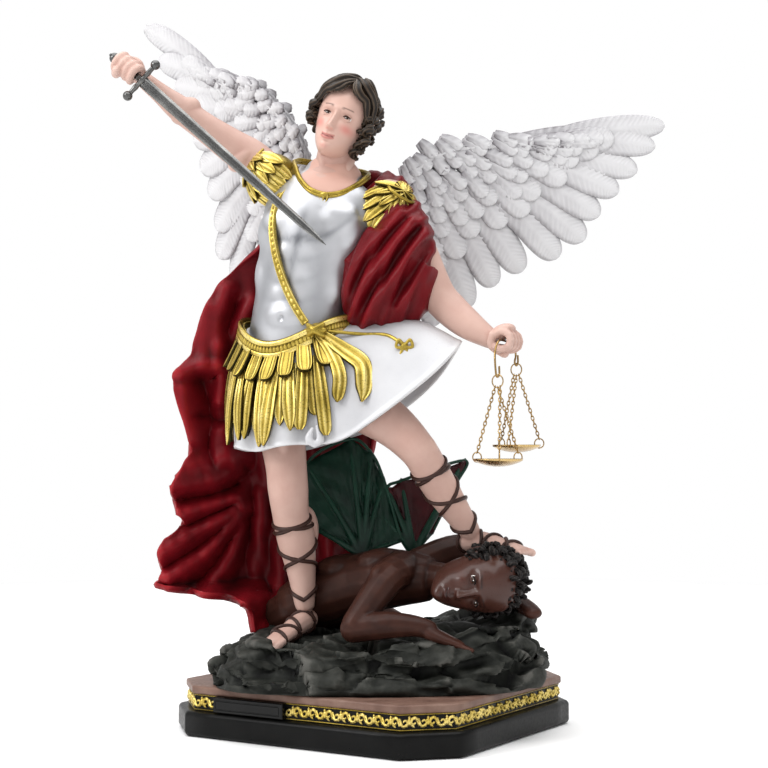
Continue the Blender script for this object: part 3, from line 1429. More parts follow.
def leaf_relief(u, s):
    """Raised edges and a raised mid-rib."""
    return 1.0 * np.exp(-(((np.abs(u) - 0.86) / 0.15) ** 2)) + 0.9 * np.exp(-((u / 0.16) ** 2)) + 0.08


def leaf_tone(u, s):
    """Gold all over, with olive in the two grooves beside the rib and along the cut edge."""
    groove = np.exp(-(((np.abs(u) - 0.42) / 0.17) ** 2))
    return np.clip(0.92 - 0.55 * groove - 0.9 * np.clip(np.abs(u) - 0.93, 0, 1) * 14, 0, 1)


def gilt_tabs():
    forms = []
    for k in range(TAB_COUNT):
        angle = -1.32 + 2.0 * k / (TAB_COUNT - 1)
        top = on_trunk(angle, belt_height(angle) - 2, 7.0)
        tip = skirt_point(angle * 1.02, 0.31, 11.5 + 0.9 * (k % 2))
        path = [top + (tip - top) * s for s in (0, 0.25, 0.5, 0.75, 0.9, 0.97, 1.0)]
        out = (math.sin(BODY_TURN + angle), -math.cos(BODY_TURN + angle), 0.1)
        wide = (5.6, 6.0, 6.4, 6.3, 5.2, 3.6, 1.4)
        forms.append(blade(path, wide, out, tab_relief, 2.6, 19, 4, 0.10, tab_tone))
    return forms


def gilt_leaves():
    """The long leaf-shaped strips over the tunic, in two overlapping rows."""
    forms = []
    total = STRIP_COUNT * 2 - 1
    for k in range(total):
        angle = -1.36 + 1.98 * k / (total - 1)
        back_row = k % 2
        reach = (0.80 if back_row else 0.93) + 0.06 * math.sin(k * 2.3) - 0.10 * max(0.0, angle)
        sway = 0.06 * math.sin(k * 1.7)
        path = [
            skirt_point(
                angle + sway * s, 0.20 + (reach - 0.20) * s,
                6.4 - 2.4 * back_row + 1.2 * math.sin(k * 3.1 + 3 * s)
            ) for s in (0, 0.2, 0.4, 0.6, 0.8, 0.93, 1)
        ]
        blunt = k > total - 5
        wide = (3.6, 4.8, 5.5, 5.8, 5.6 if blunt else 4.8, 4.8 if blunt else 2.6, 2.0 if blunt else 0.4)
        out = (math.sin(BODY_TURN + angle), -math.cos(BODY_TURN + angle), 0)
        forms.append(blade(path, wide, out, leaf_relief, 1.6, 15, 4, 0.12, leaf_tone))
    return forms


def ribbon():
    """The sash end: a broad pointed ribbon over the tunic, its knot, and the thin cord's tassel."""
    knot = on_trunk(0.62, 322, 8)
    path = [
        knot, skirt_point(0.95, 0.24, 9), skirt_point(1.06, 0.46, 9), skirt_point(1.02, 0.66, 8),
        skirt_point(0.98, 0.76, 7.5)
    ]
    forms = [
        blade(path, (3.5, 6.5, 7.6, 6.8, 0.8), (0.35, -1, 0.1), leaf_relief, 2.0, 17, 6, 0.1, leaf_tone)
    ]
    second = [
        knot, skirt_point(0.80, 0.22, 8), skirt_point(0.84, 0.44, 8), skirt_point(0.80, 0.60, 7),
        skirt_point(0.78, 0.66, 6.5)
    ]
    forms.append(
        blade(second, (3.0, 5.0, 5.8, 5.0, 0.8), (0.2, -1, 0.1), leaf_relief, 2.0, 15, 6, 0.1, leaf_tone)
    )
    return forms


def thin_cord():
    knot = on_trunk(0.66, 322, 8)
    cord = [knot, skirt_point(1.25, 0.22, 6), skirt_point(1.36, 0.42, 6.5), skirt_point(1.36, 0.62, 6)]
    forms = [tube([(*p, 1.5, 1.5) for p in cord], 12, (0, -1, 0), 6)]
    end = cord[-1]
    for side in (-1, 1):
        path = [end, end + (4.5 * side, -1.5, 5), end + (6.5 * side, -1.0, -1), end + (0.5 * side, -1, -1)]
        forms.append(tube([(*p, 1.3, 1.3) for p in path], 10, (0, -1, 0), 5))
        tail = [end, end + (2.5 * side, -1.5, -5), end + (4.5 * side, -1.0, -11)]
        forms.append(tube([(*p, 1.3, 1.1) for p in tail], 10, (0, -1, 0), 5))
    forms.append(ball(end, (3.0, 2.6, 2.8), sides=16))
    left, back, up = body_axes()
    forms.append(ball(knot, (8.5, 5, 6.5), (left, back, up), 20))
    for turn in (-0.6, 0.0, 0.6):
        side = left * math.cos(turn) + up * math.sin(turn)
        forms.append(
            tube(
                [
                    (*(knot - side * 8 - back * 4), 2, 2), (*(knot - back * 6.5), 3, 3),
                    (*(knot + side * 8 - back * 4), 2, 2)
                ],
                12, back, 5
            )
        )
    return forms


def baldric():
    """The studded strap across the breastplate."""
    path, outs = [], []
    left, back, _ = body_axes()
    for share in np.linspace(0, 1, 14):
        height = 449 - 121 * share
        angle = -0.62 - 0.12 * math.sin(math.pi * share) + 1.08 * share**1.6
        path.append(on_trunk(angle, height, 3.6))
        outs.append(left * math.sin(angle) - back * math.cos(angle))

    def relief(u, s):
        bead = np.exp(-((u / 0.34) ** 2)) * np.clip(np.cos(s * 2 * math.pi * 26), 0, 1) ** 0.7
        return 1.0 * np.exp(-(((np.abs(u) - 0.85) / 0.16) ** 2)) + 1.0 * bead

    return [
        blade(
            path, [3.3] * 14, outs, relief, 2.4, 15, 12, 0.12, lambda u,
            s: np.clip(0.55 + 0.45 * relief(u, s), 0, 1)
        )
    ]


def guard_leaf(centre, outward, droop, side, radius, start, end, fan, wide, out, curl=0.0):
    path = []
    for share in (0, 0.2, 0.4, 0.6, 0.8, 0.94, 1.0):
        tilt = start + (end - start) * share
        way = outward * math.cos(tilt) + (droop * math.cos(fan) + side * math.sin(fan)) * math.sin(tilt)
        path.append(centre + way * radius * (out + curl * share**3))
    outs = [unit(p - centre) for p in path]
    return blade(
        path, [wide * w for w in (0.5, 0.85, 1.0, 1.0, 0.8, 0.4, 0.08)], outs, leaf_relief, 1.8, 15, 4,
        0.16, leaf_tone
    )


def gilt_shoulder(centre, outward, droop, radius=23.0):
    """A gilt shoulder cap: long curled leaves that fan out from its crest over a domed boss."""
    centre, outward, droop = np.array(centre, float), unit(outward), unit(droop)
    side = unit(np.cross(outward, droop))
    axes = (outward, side, np.cross(outward, side))
    forms = [ball(centre, (radius * 0.93, radius * 0.84, radius * 0.84), axes, 32)]
    rows = (
        # start and end of the leaves down the dome, how many, half width, height, curl
        (1.05, 2.10, 10, 5.8, 0.98, 0.10),
        (0.25, 1.55, 9, 6.0, 1.03, 0.14),
        (-0.35, 0.95, 7, 5.0, 1.07, 0.12),
    )
    for row, (start, end, count, wide, out, bent) in enumerate(rows):
        for k in range(count):
            fan = -1.6 + 3.2 * (k + 0.5 * (row % 2)) / (count - 0.5)
            forms.append(guard_leaf(centre, outward, droop, side, radius, start, end, fan, wide, out, bent))
    rim = []
    for fan in np.linspace(-2.0, 2.0, 21):
        spread = droop * math.cos(fan) + side * math.sin(fan)
        way = -droop * 0.10 + outward * math.cos(0.55) + spread * math.sin(0.55)
        rim.append((*(centre + unit(way) * radius * 1.10), 1.5, 1.3))
    forms.append(tube(rim, 12, outward, 3))
    return forms


COLLAR_LINE = [
    (-69, -2, 466),
    (-67, -14, 459),
    (-63, -25, 448),
    (-55, -35, 438),
    (-43, -39, 433),
    (-30, -38, 434.5),
    (-19, -31, 441),
    (-11, -19, 449),
    (-8, -4, 455),
    (-14, 10, 460),
    (-30, 18, 464),
    (-50, 16, 468),
    (-64, 8, 469),
    (-69, -2, 466),
]


def gilt_collar():
    """The gilt neck edge with its small plaque of three leaves."""
    left, back, up = body_axes()
    forms = []
    rim = smooth_rows(COLLAR_LINE, 8)
    for lift, thick in ((0.0, 1.8), (-2.4, 1.1)):
        out = rim - (-40, -2, 0)
        out[:, 2] = 0
        out /= np.linalg.norm(out, axis=1)[:, None]
        line = rim + out * (0.5 - lift * 0.35) + (0, 0, lift)
        forms.append(tube([(*p, thick, thick) for p in line], 12, (0, 0, 1), 1))
    low = np.array((-43.5, -39.5, 432.0))
    plaque = [low + (0.3, 0.4, 2.5), low + (0, 0, -1), low + (-0.3, 0.2, -5), low + (-0.5, 0.6, -7.5)]
    forms.append(blade(plaque, (2.2, 4.2, 3.0, 0.6), -back, leaf_relief, 2.0, 13, 5, 0.1))
    forms.append(ball(low + (0, -0.5, 0.5), (4.4, 2.2, 2.2), (left, back, up), 16))
    return forms


def round_limb(row, across, up, angle, lift):
    """A point round a limb, lifted off its surface; row is a place and a half width and depth."""
    return row[:3] + across * (row[3] + lift) * math.cos(angle) + up * (row[4] + lift) * math.sin(angle)


def wound(leg, start, end, turns, thick=1.55):
    """Two bands wound opposite ways round a leg, and a ring at their upper end."""
    rows = smooth_rows(leg, 10)
    places = np.linspace(start, end, 90) * (len(rows) - 1)
    along = np.gradient(rows[:, :3], axis=0)
    forms = []
    for direction in (-1, 1, 0):
        path = []
        for index in places if direction else np.full(25, places[0]):
            share = (index - places[0]) / (places[-1] - places[0])
            row = np.array([np.interp(index, np.arange(len(rows)), rows[:, k]) for k in range(5)])
            angle = direction * share * turns * 2 * math.pi - math.pi / 2
            if direction == 0:
                angle = 2 * math.pi * len(path) / 24
            ahead = unit(along[int(index)])
            depth = unit(np.array([0, 1, 0]) - ahead * ahead[1])
            width = np.cross(depth, ahead)
            spot = round_limb(row, width, depth, angle, 0.5)
            path.append((*spot, thick, thick * 1.1))
        forms.append(tube(path, 10, (0.1, 0.2, 1), 1))
    return forms


# Cloth
def tunic(columns=420, rows=90):
    """The white tunic: its skirt falls in soft folds and flies out to his left."""
    angles = np.linspace(-math.pi, math.pi, columns, endpoint=False)
    grid = np.array([[skirt_point(a, drop) for a in angles] for drop in np.linspace(0.0, 1.0, rows)])
    drops = np.linspace(0, 1, rows)[:, None]
    turn = angles[None, :]
    heading = turn - math.pi / 2 + BODY_TURN
    lift = np.exp(-((np.remainder(heading - FLARE_ANGLE + math.pi, 2 * math.pi) - math.pi) / 0.7) ** 2)
    fine = np.sin(turn * 21 + 2.0 * drops + 0.8 * np.sin(turn * 4)) * 0.9
    fine = fine + np.sin(turn * 13 - 1.5 * drops) * 1.1
    reach = drops**0.8 * (0.55 + 0.45 * lift)
    outward = np.stack([np.cos(heading), np.sin(heading), np.zeros_like(heading)], -1)
    outward = outward * (1 - lift[..., None] * 0.7) + np.array([0, 0, 1.0]) * lift[..., None] * 0.7
    grid = grid + outward * (fine * reach)[..., None]
    lip = np.exp(-(((drops - 0.985) / 0.02) ** 2)) * np.ones_like(turn)
    return slab(grid[:, ::-1], 2.6 + 1.2 * lip[:, ::-1], closed=True)


def knotted_fold():
    """The small knotted fold near the tunic's hem."""
    low = skirt_point(0.55, 0.97, 4)
    forms = []
    for side, rise in ((-1, 10), (1, 12)):
        path = [low + (side * 2, -1, rise), low + (side * 4.5, -2.5, 2), low + (0, -3, -3)]
        forms.append(
            tube([(*path[0], 1.6, 1.6), (*path[1], 3.4, 2.6), (*path[2], 2.4, 2.0)], 14, (0, 1, 0), 5)
        )
    return forms


def cape_cloth(columns=230, rows=420):
    """The cape down his back and out to the viewer's left, with a fine rolled hem."""
    grid = cape_surface(columns, rows)
    low = np.clip((400 - grid[..., 2]) / 200, 0, 1)
    fine = 0.5 * np.sin(grid[..., 0] * 0.55 + grid[..., 2] * 0.16) * low
    grid[..., 1] += fine
    edge = np.linspace(0, 1, columns)[None, :] * np.ones((rows, 1))
    hem = np.exp(-((edge / 0.012) ** 2)) + np.exp(-(((1 - edge) / 0.012) ** 2))
    return slab(grid, 4.2 + 1.8 * np.clip(hem, 0, 1))


# Fallen figure
def wing_web(root, edge, web, lift, thickness=3.0):
    """A bat wing's membrane, sagging between its ribs, shifted by lift towards the viewer."""
    root = np.array(root, float)
    outline = smooth_rows([np.array(p, float) for p in edge], 14)
    for k, point in enumerate(outline):
        sag = 1 - web * abs(math.sin(math.pi * k / 14)) ** 0.8
        outline[k] = root + (point - root) * sag
    grid = []
    for s in np.linspace(0.06, 1, 40):
        row = []
        for k, p in enumerate(outline):
            spot = root + (p - root) * s
            hollow = 3.0 * abs(math.sin(math.pi * k / 14)) * s
            crease = 0.5 * math.sin(s * 26 + k * 0.7) + 0.4 * math.sin(k * 1.9)
            row.append(spot + np.array((0, hollow + crease + lift, 0)))
        grid.append(row)
    return slab(np.array(grid), thickness)


def wing_ribs(root, edge):
    root = np.array(root, float)
    forms = []
    for point in edge:
        point = np.array(point, float)
        rib = [
            root, root + (point - root) * 0.35 + (0, -3, 2), root + (point - root) * 0.7 + (0, -2.5, 1.5),
            point
        ]
        forms.append(tube([(*p, w, w) for p, w in zip(rib, (3.6, 2.6, 2.0, 1.4))], 16, steps=6))
        claw = [point, point + unit(point - root) * 2.5 + (0, -0.5, 0)]
        forms.append(tube([(*claw[0], 1.9, 1.9), (*claw[1], 0.5, 0.5)], 10, steps=4))
    outline = smooth_rows([np.array(p, float) for p in edge], 8)
    forms.append(tube([(*(p + (0, -1, 0)), 1.5, 1.5) for p in outline], 12, (0, 1, 0), 1))
    return forms


FALLEN_MUSCLES = [
    ((-16, 0, 131), (8, 11, 26), (0.9, -0.35, 0.1)),
    ((12, -8, 136), (7, 10, 20), (0.9, -0.35, 0.1)),
    ((4, -48, 129), (8, 8, 15), (0.5, 0.8, 0.2)),
    ((-11, -65, 99), (8, 8, 12), (0.4, 0.3, 0.9)),
    ((4, -80, 91), (8, 8, 14), (0.95, -0.2, 0.05)),
    ((-44, 20, 112), (10, 13, 20), (0.9, -0.35, 0.2)),
    ((-34, 66, 92), (10, 10, 22), (0.8, 0.5, -0.2)),
    ((66, 14, 144), (9, 10, 18), (0.9, 0.3, 0.1)),
]


def dark_hair(size):
    """Short tight curls all over the fallen figure's head."""
    forms = [ball((0, 0.10 * size, 0.12 * size), (0.38 * size, 0.40 * size, 0.40 * size), sides=32)]
    golden = math.pi * (3 - math.sqrt(5))
    count = 150
    for k in range(count):
        rise = math.degrees(math.asin(1 - 1.45 * (k + 0.5) / count))
        around = math.degrees(k * golden) % 360
        turned = abs((around + 180) % 360 - 180)
        if turned < 62 and rise < 44 - 0.12 * turned:
            continue
        spot = on_skull(rise, around, 1.0 + 0.02 * math.sin(k * 2.3), size)
        away = spot - SKULL_CENTRE * size
        way = np.array((math.sin(k * 1.7), 0.4 * math.cos(k * 2.9), -0.8))
        forms.append(curl(spot, way, away, 0.042 * size, 0.036, size, 1.0, k * 2.4))
    return forms


# Rock
def rugged(points, seeds, sizes, depths):
    """Layered noise for a set of points, in millimetres, stretched into level ledges."""
    out = np.zeros(len(points))
    for seed, size, depth in zip(seeds, sizes, depths):
        scaled = points / size * (1, 1, 2.6) + (seed, 0, 0)
        out += depth * np.array([noise.noise(Vector(p)) for p in scaled])
    return out


def facets(points, seed, count, tilt, step):
    """Flat chipped faces: each point follows the tilted plane of the cell that it is nearest to."""
    chance = np.random.RandomState(seed)
    low, high = points.min(axis=0), points.max(axis=0)
    centres = low + (high - low) * chance.rand(count, 3)
    slopes = chance.uniform(-tilt, tilt, (count, 3))
    steps = chance.uniform(-step, step, count)
    stretch = np.array((1.0, 1.0, 2.0))
    nearest = np.empty(len(points), int)
    for start in range(0, len(points), 4000):
        part = points[start : start + 4000]
        away = (((part[:, None] - centres[None]) * stretch) ** 2).sum(2)
        nearest[start : start + 4000] = away.argmin(1)
    return ((points - centres[nearest]) * slopes[nearest]).sum(1) + steps[nearest]


def crag(columns=420, levels=54, caps=50):
    """A low rocky mound with broken ledges, flat below where it sits on the plinth."""
    turn = np.linspace(0, 2 * math.pi, columns, endpoint=False)
    table = np.array(ROCK_LEVELS)
    square = (np.abs(np.cos(turn)) ** 3.2 + np.abs(np.sin(turn)) ** 3.2) ** (-1 / 3.2)
    rings = []
    for height in np.linspace(0, 35, levels):
        share = np.interp(height, table[:, 0], table[:, 1])
        rough = np.interp(height, table[:, 0], table[:, 2])
        level = np.interp(height, table[:, 0], np.arange(len(table)))
        swell = np.sin(3 * turn + level * 1.3) + 0.7 * np.sin(7 * turn - level * 2.1)
        swell = swell + 0.5 * np.sin(13 * turn + level * 3.7)
        reach = share * (1 + rough * swell * 0.55) * square
        x, y = ROCK_HALF_WIDTH * reach * np.cos(turn), ROCK_HALF_DEPTH * reach * np.sin(turn)
        top = np.array([rock_top(a, b) for a, b in zip(x, y)]) - PLINTH_TOP
        rings.append(
            np.stack([x - 3 + rock_shift(height), y - 4, PLINTH_TOP + SEAM_GAP + height * top / 37], -1)
        )
    for share in np.linspace(0.83, 0.02, caps):
        x = ROCK_HALF_WIDTH * share * square * np.cos(turn)
        y = ROCK_HALF_DEPTH * share * square * np.sin(turn)
        mix = np.clip((0.83 - share) / 0.2, 0, 1)
        top = np.array([rock_top(a, b) for a, b in zip(x, y)])
        lean = rock_shift(35) * (1 - mix) + 9 * mix
        rings.append(np.stack([x - 3 + lean, y - 4 + 2 * mix, top], -1))
    grid = np.array(rings)
    flat = grid.reshape(-1, 3)
    normal = np.cross(np.gradient(grid, axis=1), np.gradient(grid, axis=0)).reshape(-1, 3)
    normal /= np.maximum(np.linalg.norm(normal, axis=1), 1e-9)[:, None]
    sides = slice(columns * 8, columns * 30)
    if (normal[sides] * (flat[sides] - (0, 0, 60))).sum() < 0:
        normal = -normal
    low = np.clip((flat[:, 2] - PLINTH_TOP - SEAM_GAP) / 4, 0, 1)
    chips = facets(flat, 11, 70, 0.28, 1.6) + facets(flat, 23, 300, 0.20, 0.5)
    fine = rugged(flat, (1.7, 5.2), (34.0, 12.0), (3.4, 1.5))
    move = (np.clip(chips, -7, 5) + fine - 1.0) * low
    flat = flat + normal * move[:, None]
    return flat, closed_rings(len(rings), columns)


# Wings
FLIGHT_FEATHERS = 11
EDGE_FEATHERS = 14
BARB_STEP = 10.3
COVERT_ROWS = [
    # share of the way from arm to trailing edge, how many, half width, length
    (0.64, 10, 11.5, 52),
    (0.50, 12, 9.0, 34),
    (0.38, 13, 7.6, 26),
    (0.27, 13, 6.8, 21),
    (0.16, 14, 6.2, 18),
    (0.05, 14, 5.6, 16),
]


def barb_ridges(u, s):
    """Barbs along the mesh rows: a ridge at every third row, fading at the shaft and at both ends."""
    ridge = np.cos(np.arange(len(s)) * 2 * math.pi / 3)[:, None]
    return ridge * np.clip(np.abs(u) * 2.5, 0, 1) * np.clip(s * 8, 0, 1) * np.clip((1 - s) * 8, 0, 1)


def feather_relief(u, s):
    """The shaft, the slightly crowned vanes and the barbs of a feather."""
    shaft = 0.9 * np.exp(-((u / 0.11) ** 2)) * (1 - 0.5 * s)
    return shaft + 0.30 * (1 - u**2) + 0.30 * barb_ridges(u, s)


def feather_tone(u, s):
    tone = 0.14 + 0.90 * s**0.8 - 0.35 * np.abs(u) ** 4 + 0.12 * np.exp(-((u / 0.1) ** 2))
    return np.clip(tone + 0.10 * barb_ridges(u, s), 0, 1)


def wing_layout(arm, trail):
    """Root, tip, half width and layer of every feather: flight feathers, then coverts, then the edge."""
    arm, trail = smooth_rows(arm, 10), smooth_rows(trail, 12)
    feathers = []
    for k in range(FLIGHT_FEATHERS):
        share = k / (FLIGHT_FEATHERS - 1)
        tip = trail[int(share * (len(trail) - 1))]
        heading = math.radians(11 - 84 * share**0.85)
        length = 132 - 48 * share
        start = tip - length * np.array((math.cos(heading), math.sin(heading)))
        feathers.append((start, tip, 11.5 + 3.0 * math.sin(math.pi * share), 0))
    for row, (reach, count, half, size) in enumerate(COVERT_ROWS):
        for k in range(count):
            share = (k + 0.5 * (row % 2)) / (count - 0.5)
            along = arm[int((1 - share) * (len(arm) - 1))]
            edge = trail[int((0.06 + 0.90 * share) * (len(trail) - 1))]
            near = reach * (0.62 + 0.38 * min(1.0, share / 0.35))
            tip = along + (edge - along) * (near + 0.03 * math.sin(k * 2.6 + row))
            heading = math.radians(6 - 80 * share**0.85 + 7 * math.sin(k * 1.9 + row * 2.3))
            length = size + 8 * (1 - share)
            start = tip - length * np.array((math.cos(heading), math.sin(heading)))
            feathers.append((start, tip, half, row + 1))
    for k in range(EDGE_FEATHERS):
        share = k / (EDGE_FEATHERS - 1)
        index = int((0.12 + 0.86 * share) * (len(arm) - 1))
        place = arm[index]
        ahead = arm[min(len(arm) - 1, index + 3)] - arm[index - 1]
        ahead = ahead / max(np.hypot(*ahead), 1e-6)
        tip = place + ahead * 15 + (0, -2.0 - 2.0 * (k % 2))
        feathers.append((tip - ahead * 34, tip, 7.0 - 2.2 * share, 3 + k % 2))
    return feathers


def feathered(place):
    """One wing: its arm and layered feathers on both faces."""
    root, span, rise = (np.array(v, float) for v in place[:3])
    out = unit(np.cross(span, rise))
    out = out if out[1] < 0 else -out

    def at(s, t, depth=0.0):
        cup = 0.0009 * max(0.0, s) ** 2 * 0.5
        return root + span * s + rise * t + out * (depth + cup)

    line = place[3]
    arm = [(*at(s, t - 2), w, 2.0) for (s, t), w in zip(line, np.linspace(9, 3, len(line)))]
    tube_form = tube(arm, 24, out, 6)
    forms = [(*tube_form, np.full(len(tube_form[0]), 0.12))]
    shares = (0, 0.2, 0.4, 0.6, 0.78, 0.9, 0.97, 1.0)
    shape = (0.55, 0.80, 0.95, 1.0, 0.98, 0.82, 0.52, 0.12)
    for number, (start, tip, half, layer) in enumerate(wing_layout(line, place[4])):
        bend = np.array((-(tip - start)[1], (tip - start)[0])) * (0.05 if layer == 0 else 0.03)
        for face in (1, -1):
            lift = face * (0.9 + 0.65 * layer) + 0.4 * math.sin(number * 2.4)
            path = []
            for share in shares:
                s, t = start + (tip - start) * share + bend * math.sin(math.pi * share)
                path.append(at(s, t, lift * (1 - 0.35 * share) + face * 1.7 * share**3))
            wide = [half * w for w in shape]
            length = np.hypot(*(tip - start))
            steps = max(2, round(length / BARB_STEP))
            slant = 0.7 * half / length
            forms.append(
                blade(path, wide, out * face, feather_relief, 0.9, 9, steps, 0.05, feather_tone, slant)
            )
    return forms


# Plinth
def moulding(profile, steps=1):
    """A closed octagonal form from height and inset pairs, with evenly spaced points along each side."""
    rings = []
    for height, inset in profile:
        corner = PLINTH_CORNER - inset * (2 - math.sqrt(2))
        outline = octagon(PLINTH_WIDTH - 2 * inset, PLINTH_DEPTH - 2 * inset, corner)
        ring = []
        for a, b in zip(outline, outline[1:] + outline[:1]):
            for k in range(steps):
                ring.append((a[0] + (b[0] - a[0]) * k / steps, a[1] + (b[1] - a[1]) * k / steps, height))
        rings.append(ring)
    count = len(rings[0])
    points = np.array(rings).reshape(-1, 3)
    return points, closed_rings(len(rings), count)


def rounded(low, high, inset, radius, steps=6):
    """Height and inset pairs of an upright face whose two edges are rounded."""
    turns = [
        (
            1 - math.sin(math.pi / 2 * k / steps), 1 - math.cos(math.pi / 2 * k / steps)
        ) for k in range(steps + 1)
    ]
    rows = [(low + radius * c, inset + radius * s) for s, c in turns]
    rows += [(high - radius * s, inset + radius * c) for s, c in turns]
    return rows


def scroll_unit(length, height):
    """One repeat of the band's ornament, in its own plane: two opposed scrolls, a bud and a leaf."""
    forms = []
    for side in (-1, 1):
        path = []
        for t in np.linspace(0, 1, 12):
            angle = side * (0.4 + 5.2 * t)
            reach = height * 0.36 * (1 - 0.72 * t)
            x = side * length * 0.25 + reach * math.cos(angle) * side
            z = reach * math.sin(angle)
            path.append((x, 0, z, 1.08 - 0.35 * t, 1.3))
        forms.append(tube(path, 8, (0, 1, 0), 1))
        stem = [
            (side * length * 0.5, 0, -height * 0.24 * side),
            (side * length * 0.36, 0, height * 0.33 * side), (side * length * 0.12, 0, height * 0.30 * side)
        ]
        forms.append(tube([(*p, w, 0.8) for p, w in zip(stem, (0.8, 1.0, 0.6))], 8, (0, 1, 0), 3))
        leaf = [
            (side * length * 0.10, 0, -height * 0.05), (side * length * 0.17, 0, -height * 0.26),
            (side * length * 0.27, 0, -height * 0.40)
        ]
        forms.append(tube([(*p, w, 0.8) for p, w in zip(leaf, (0.5, 1.3, 0.3))], 8, (0, 1, 0), 3))
    forms.append(ball((0, 0, 0), (1.9, 1.2, 2.8), sides=10))
    forms.append(ball((0, 0, height * 0.34), (1.0, 1.0, 1.3), sides=8))
    return forms


SCROLL_PITCH = 14.5
SCROLL_TONE = 0.86


def scroll_band():
    """The gilt ornament round the plinth's recessed band, with a fine rim above and below."""
    corner = PLINTH_CORNER - BAND_INSET * (2 - math.sqrt(2))
    outline = octagon(PLINTH_WIDTH - 2 * BAND_INSET, PLINTH_DEPTH - 2 * BAND_INSET, corner)
    middle = FOOT_HEIGHT + BAND_HEIGHT / 2 + 0.3
    forms = []
    for a, b in zip(outline, outline[1:] + outline[:1]):
        a, b = np.array((*a, 0.0)), np.array((*b, 0.0))
        length = np.linalg.norm(b - a)
        way = (b - a) / length
        out = np.array((way[1], -way[0], 0.0))
        count = max(2, round(length / SCROLL_PITCH))
        pitch = length / count
        upright = np.array((0, 0, 1.0))
        for k in range(count):
            centre = a + way * pitch * (k + 0.5) + out * 0.35 + (0, 0, middle)
            for points, faces in (form[:2] for form in scroll_unit(pitch, BAND_HEIGHT - 3.4)):
                spots = centre + points[:, :1] * way + points[:, 1:2] * -out + points[:, 2:] * upright
                forms.append((spots, faces, np.full(len(points), SCROLL_TONE)))
        for z, thick in ((FOOT_HEIGHT + 1.0, 0.5), (FOOT_HEIGHT + BAND_HEIGHT - 0.6, 0.5)):
            line = [a + out * 0.2, (a + b) / 2 + out * 0.2, b + out * 0.2]
            forms.append(tube([(p[0], p[1], z, thick, thick) for p in line], 8, (0, 0, 1), 2))
    return forms


# Sword and scales
def detailed_sword():
    """Wire-bound grip, ball-ended guard and a ridged blade with a central groove."""
    ahead = unit(SWORD_TIP - SWORD_GUARD)
    across = unit(SWORD_SIDE - ahead * (SWORD_SIDE @ ahead))
    flat = np.cross(ahead, across)
    pommel = SWORD_GUARD - GRIP_RIGHT * 32
    grip = []
    for k in range(49):
        share = k / 48
        bind = 0.28 * math.cos(share * 2 * math.pi * 16)
        grip.append(
            (
                *(pommel + (SWORD_GUARD - pommel) * share), GRIP_RADIUS * 0.88 + bind,
                GRIP_RADIUS * 0.88 + bind
            )
        )
    forms = [tube(grip, 16, flat, 1)]
    guard = []
    for s in np.linspace(-1, 1, 25):
        knob = 0.5 * math.exp(-((abs(s) - 0.45) / 0.12) ** 2)
        guard.append((s, 1.9 + knob + 1.5 * math.exp(-((s / 0.16) ** 2))))
    forms.append(tube([(*(SWORD_GUARD + across * GUARD_HALF * s), r, r) for s, r in guard], 16, flat, 1))
    forms.append(ball(pommel, (BALL_RADIUS * 0.98,) * 3, sides=20))
    forms.append(ball(pommel - GRIP_RIGHT * BALL_RADIUS, (1.5,) * 3, sides=12))
    for side in (-1, 1):
        forms.append(ball(SWORD_GUARD + across * side * GUARD_HALF, (BALL_RADIUS * 0.88,) * 3, sides=18))
    length = np.linalg.norm(SWORD_TIP - SWORD_GUARD)
    section = [(1.0, 0.0), (0.55, 0.72), (0.30, 0.98), (0.14, 0.66), (0.0, 0.6)]
    outline = section + [(-w, d) for w, d in section[-2::-1]]
    outline += [(-w, -d) for w, d in section[1:]] + [(w, -d) for w, d in section[-2:0:-1]]
    rings, tones = [], []
    shares = np.linspace(-0.01, 1.0, 40)
    for share in shares:
        centre = SWORD_GUARD + ahead * length * share
        taper = np.interp(share, (-0.01, 0.3, 0.65, 0.88, 0.95, 1.0), (1.0, 0.92, 0.8, 0.66, 0.42, 0.03))
        wide = taper * BLADE_WIDTH / 2
        thick = np.interp(share, (0, 0.9, 1.0), (1.0, 0.8, 0.08)) * BLADE_THICKNESS / 2
        for w, d in outline:
            rings.append(centre + across * wide * w + flat * thick * d)
            tones.append(0.35 + 0.6 * abs(w) ** 2)
    faces = closed_rings(len(shares), len(outline))
    forms.append((np.array(rings), faces, np.array(tones)))
    return forms


def chain_links(top, bottom, link=LINK_LENGTH):
    """A chain of small round-wire links, every other one turned."""
    along = unit(bottom - top)
    length = np.linalg.norm(bottom - top)
    count = round(length / (link * 0.72))
    side = unit(np.cross(along, (0.3, 0.9, 0.1)))
    other = np.cross(along, side)
    forms = []
    for k in range(count):
        centre = top + (bottom - top) * (k + 0.5) / count
        plane = side if k % 2 else other
        points, faces = torus((0, 0, 0), (1, 0, 0), 1.0, 0.36, 12, 6)
        x, y, z = points.T
        half, wide = link / 2 - 0.3, 1.15
        points = centre + plane * (x * wide)[:, None] + np.cross(along, plane) * y[:, None]
        points = points + along * (z * half)[:, None]
        forms.append((points, faces))
    return forms


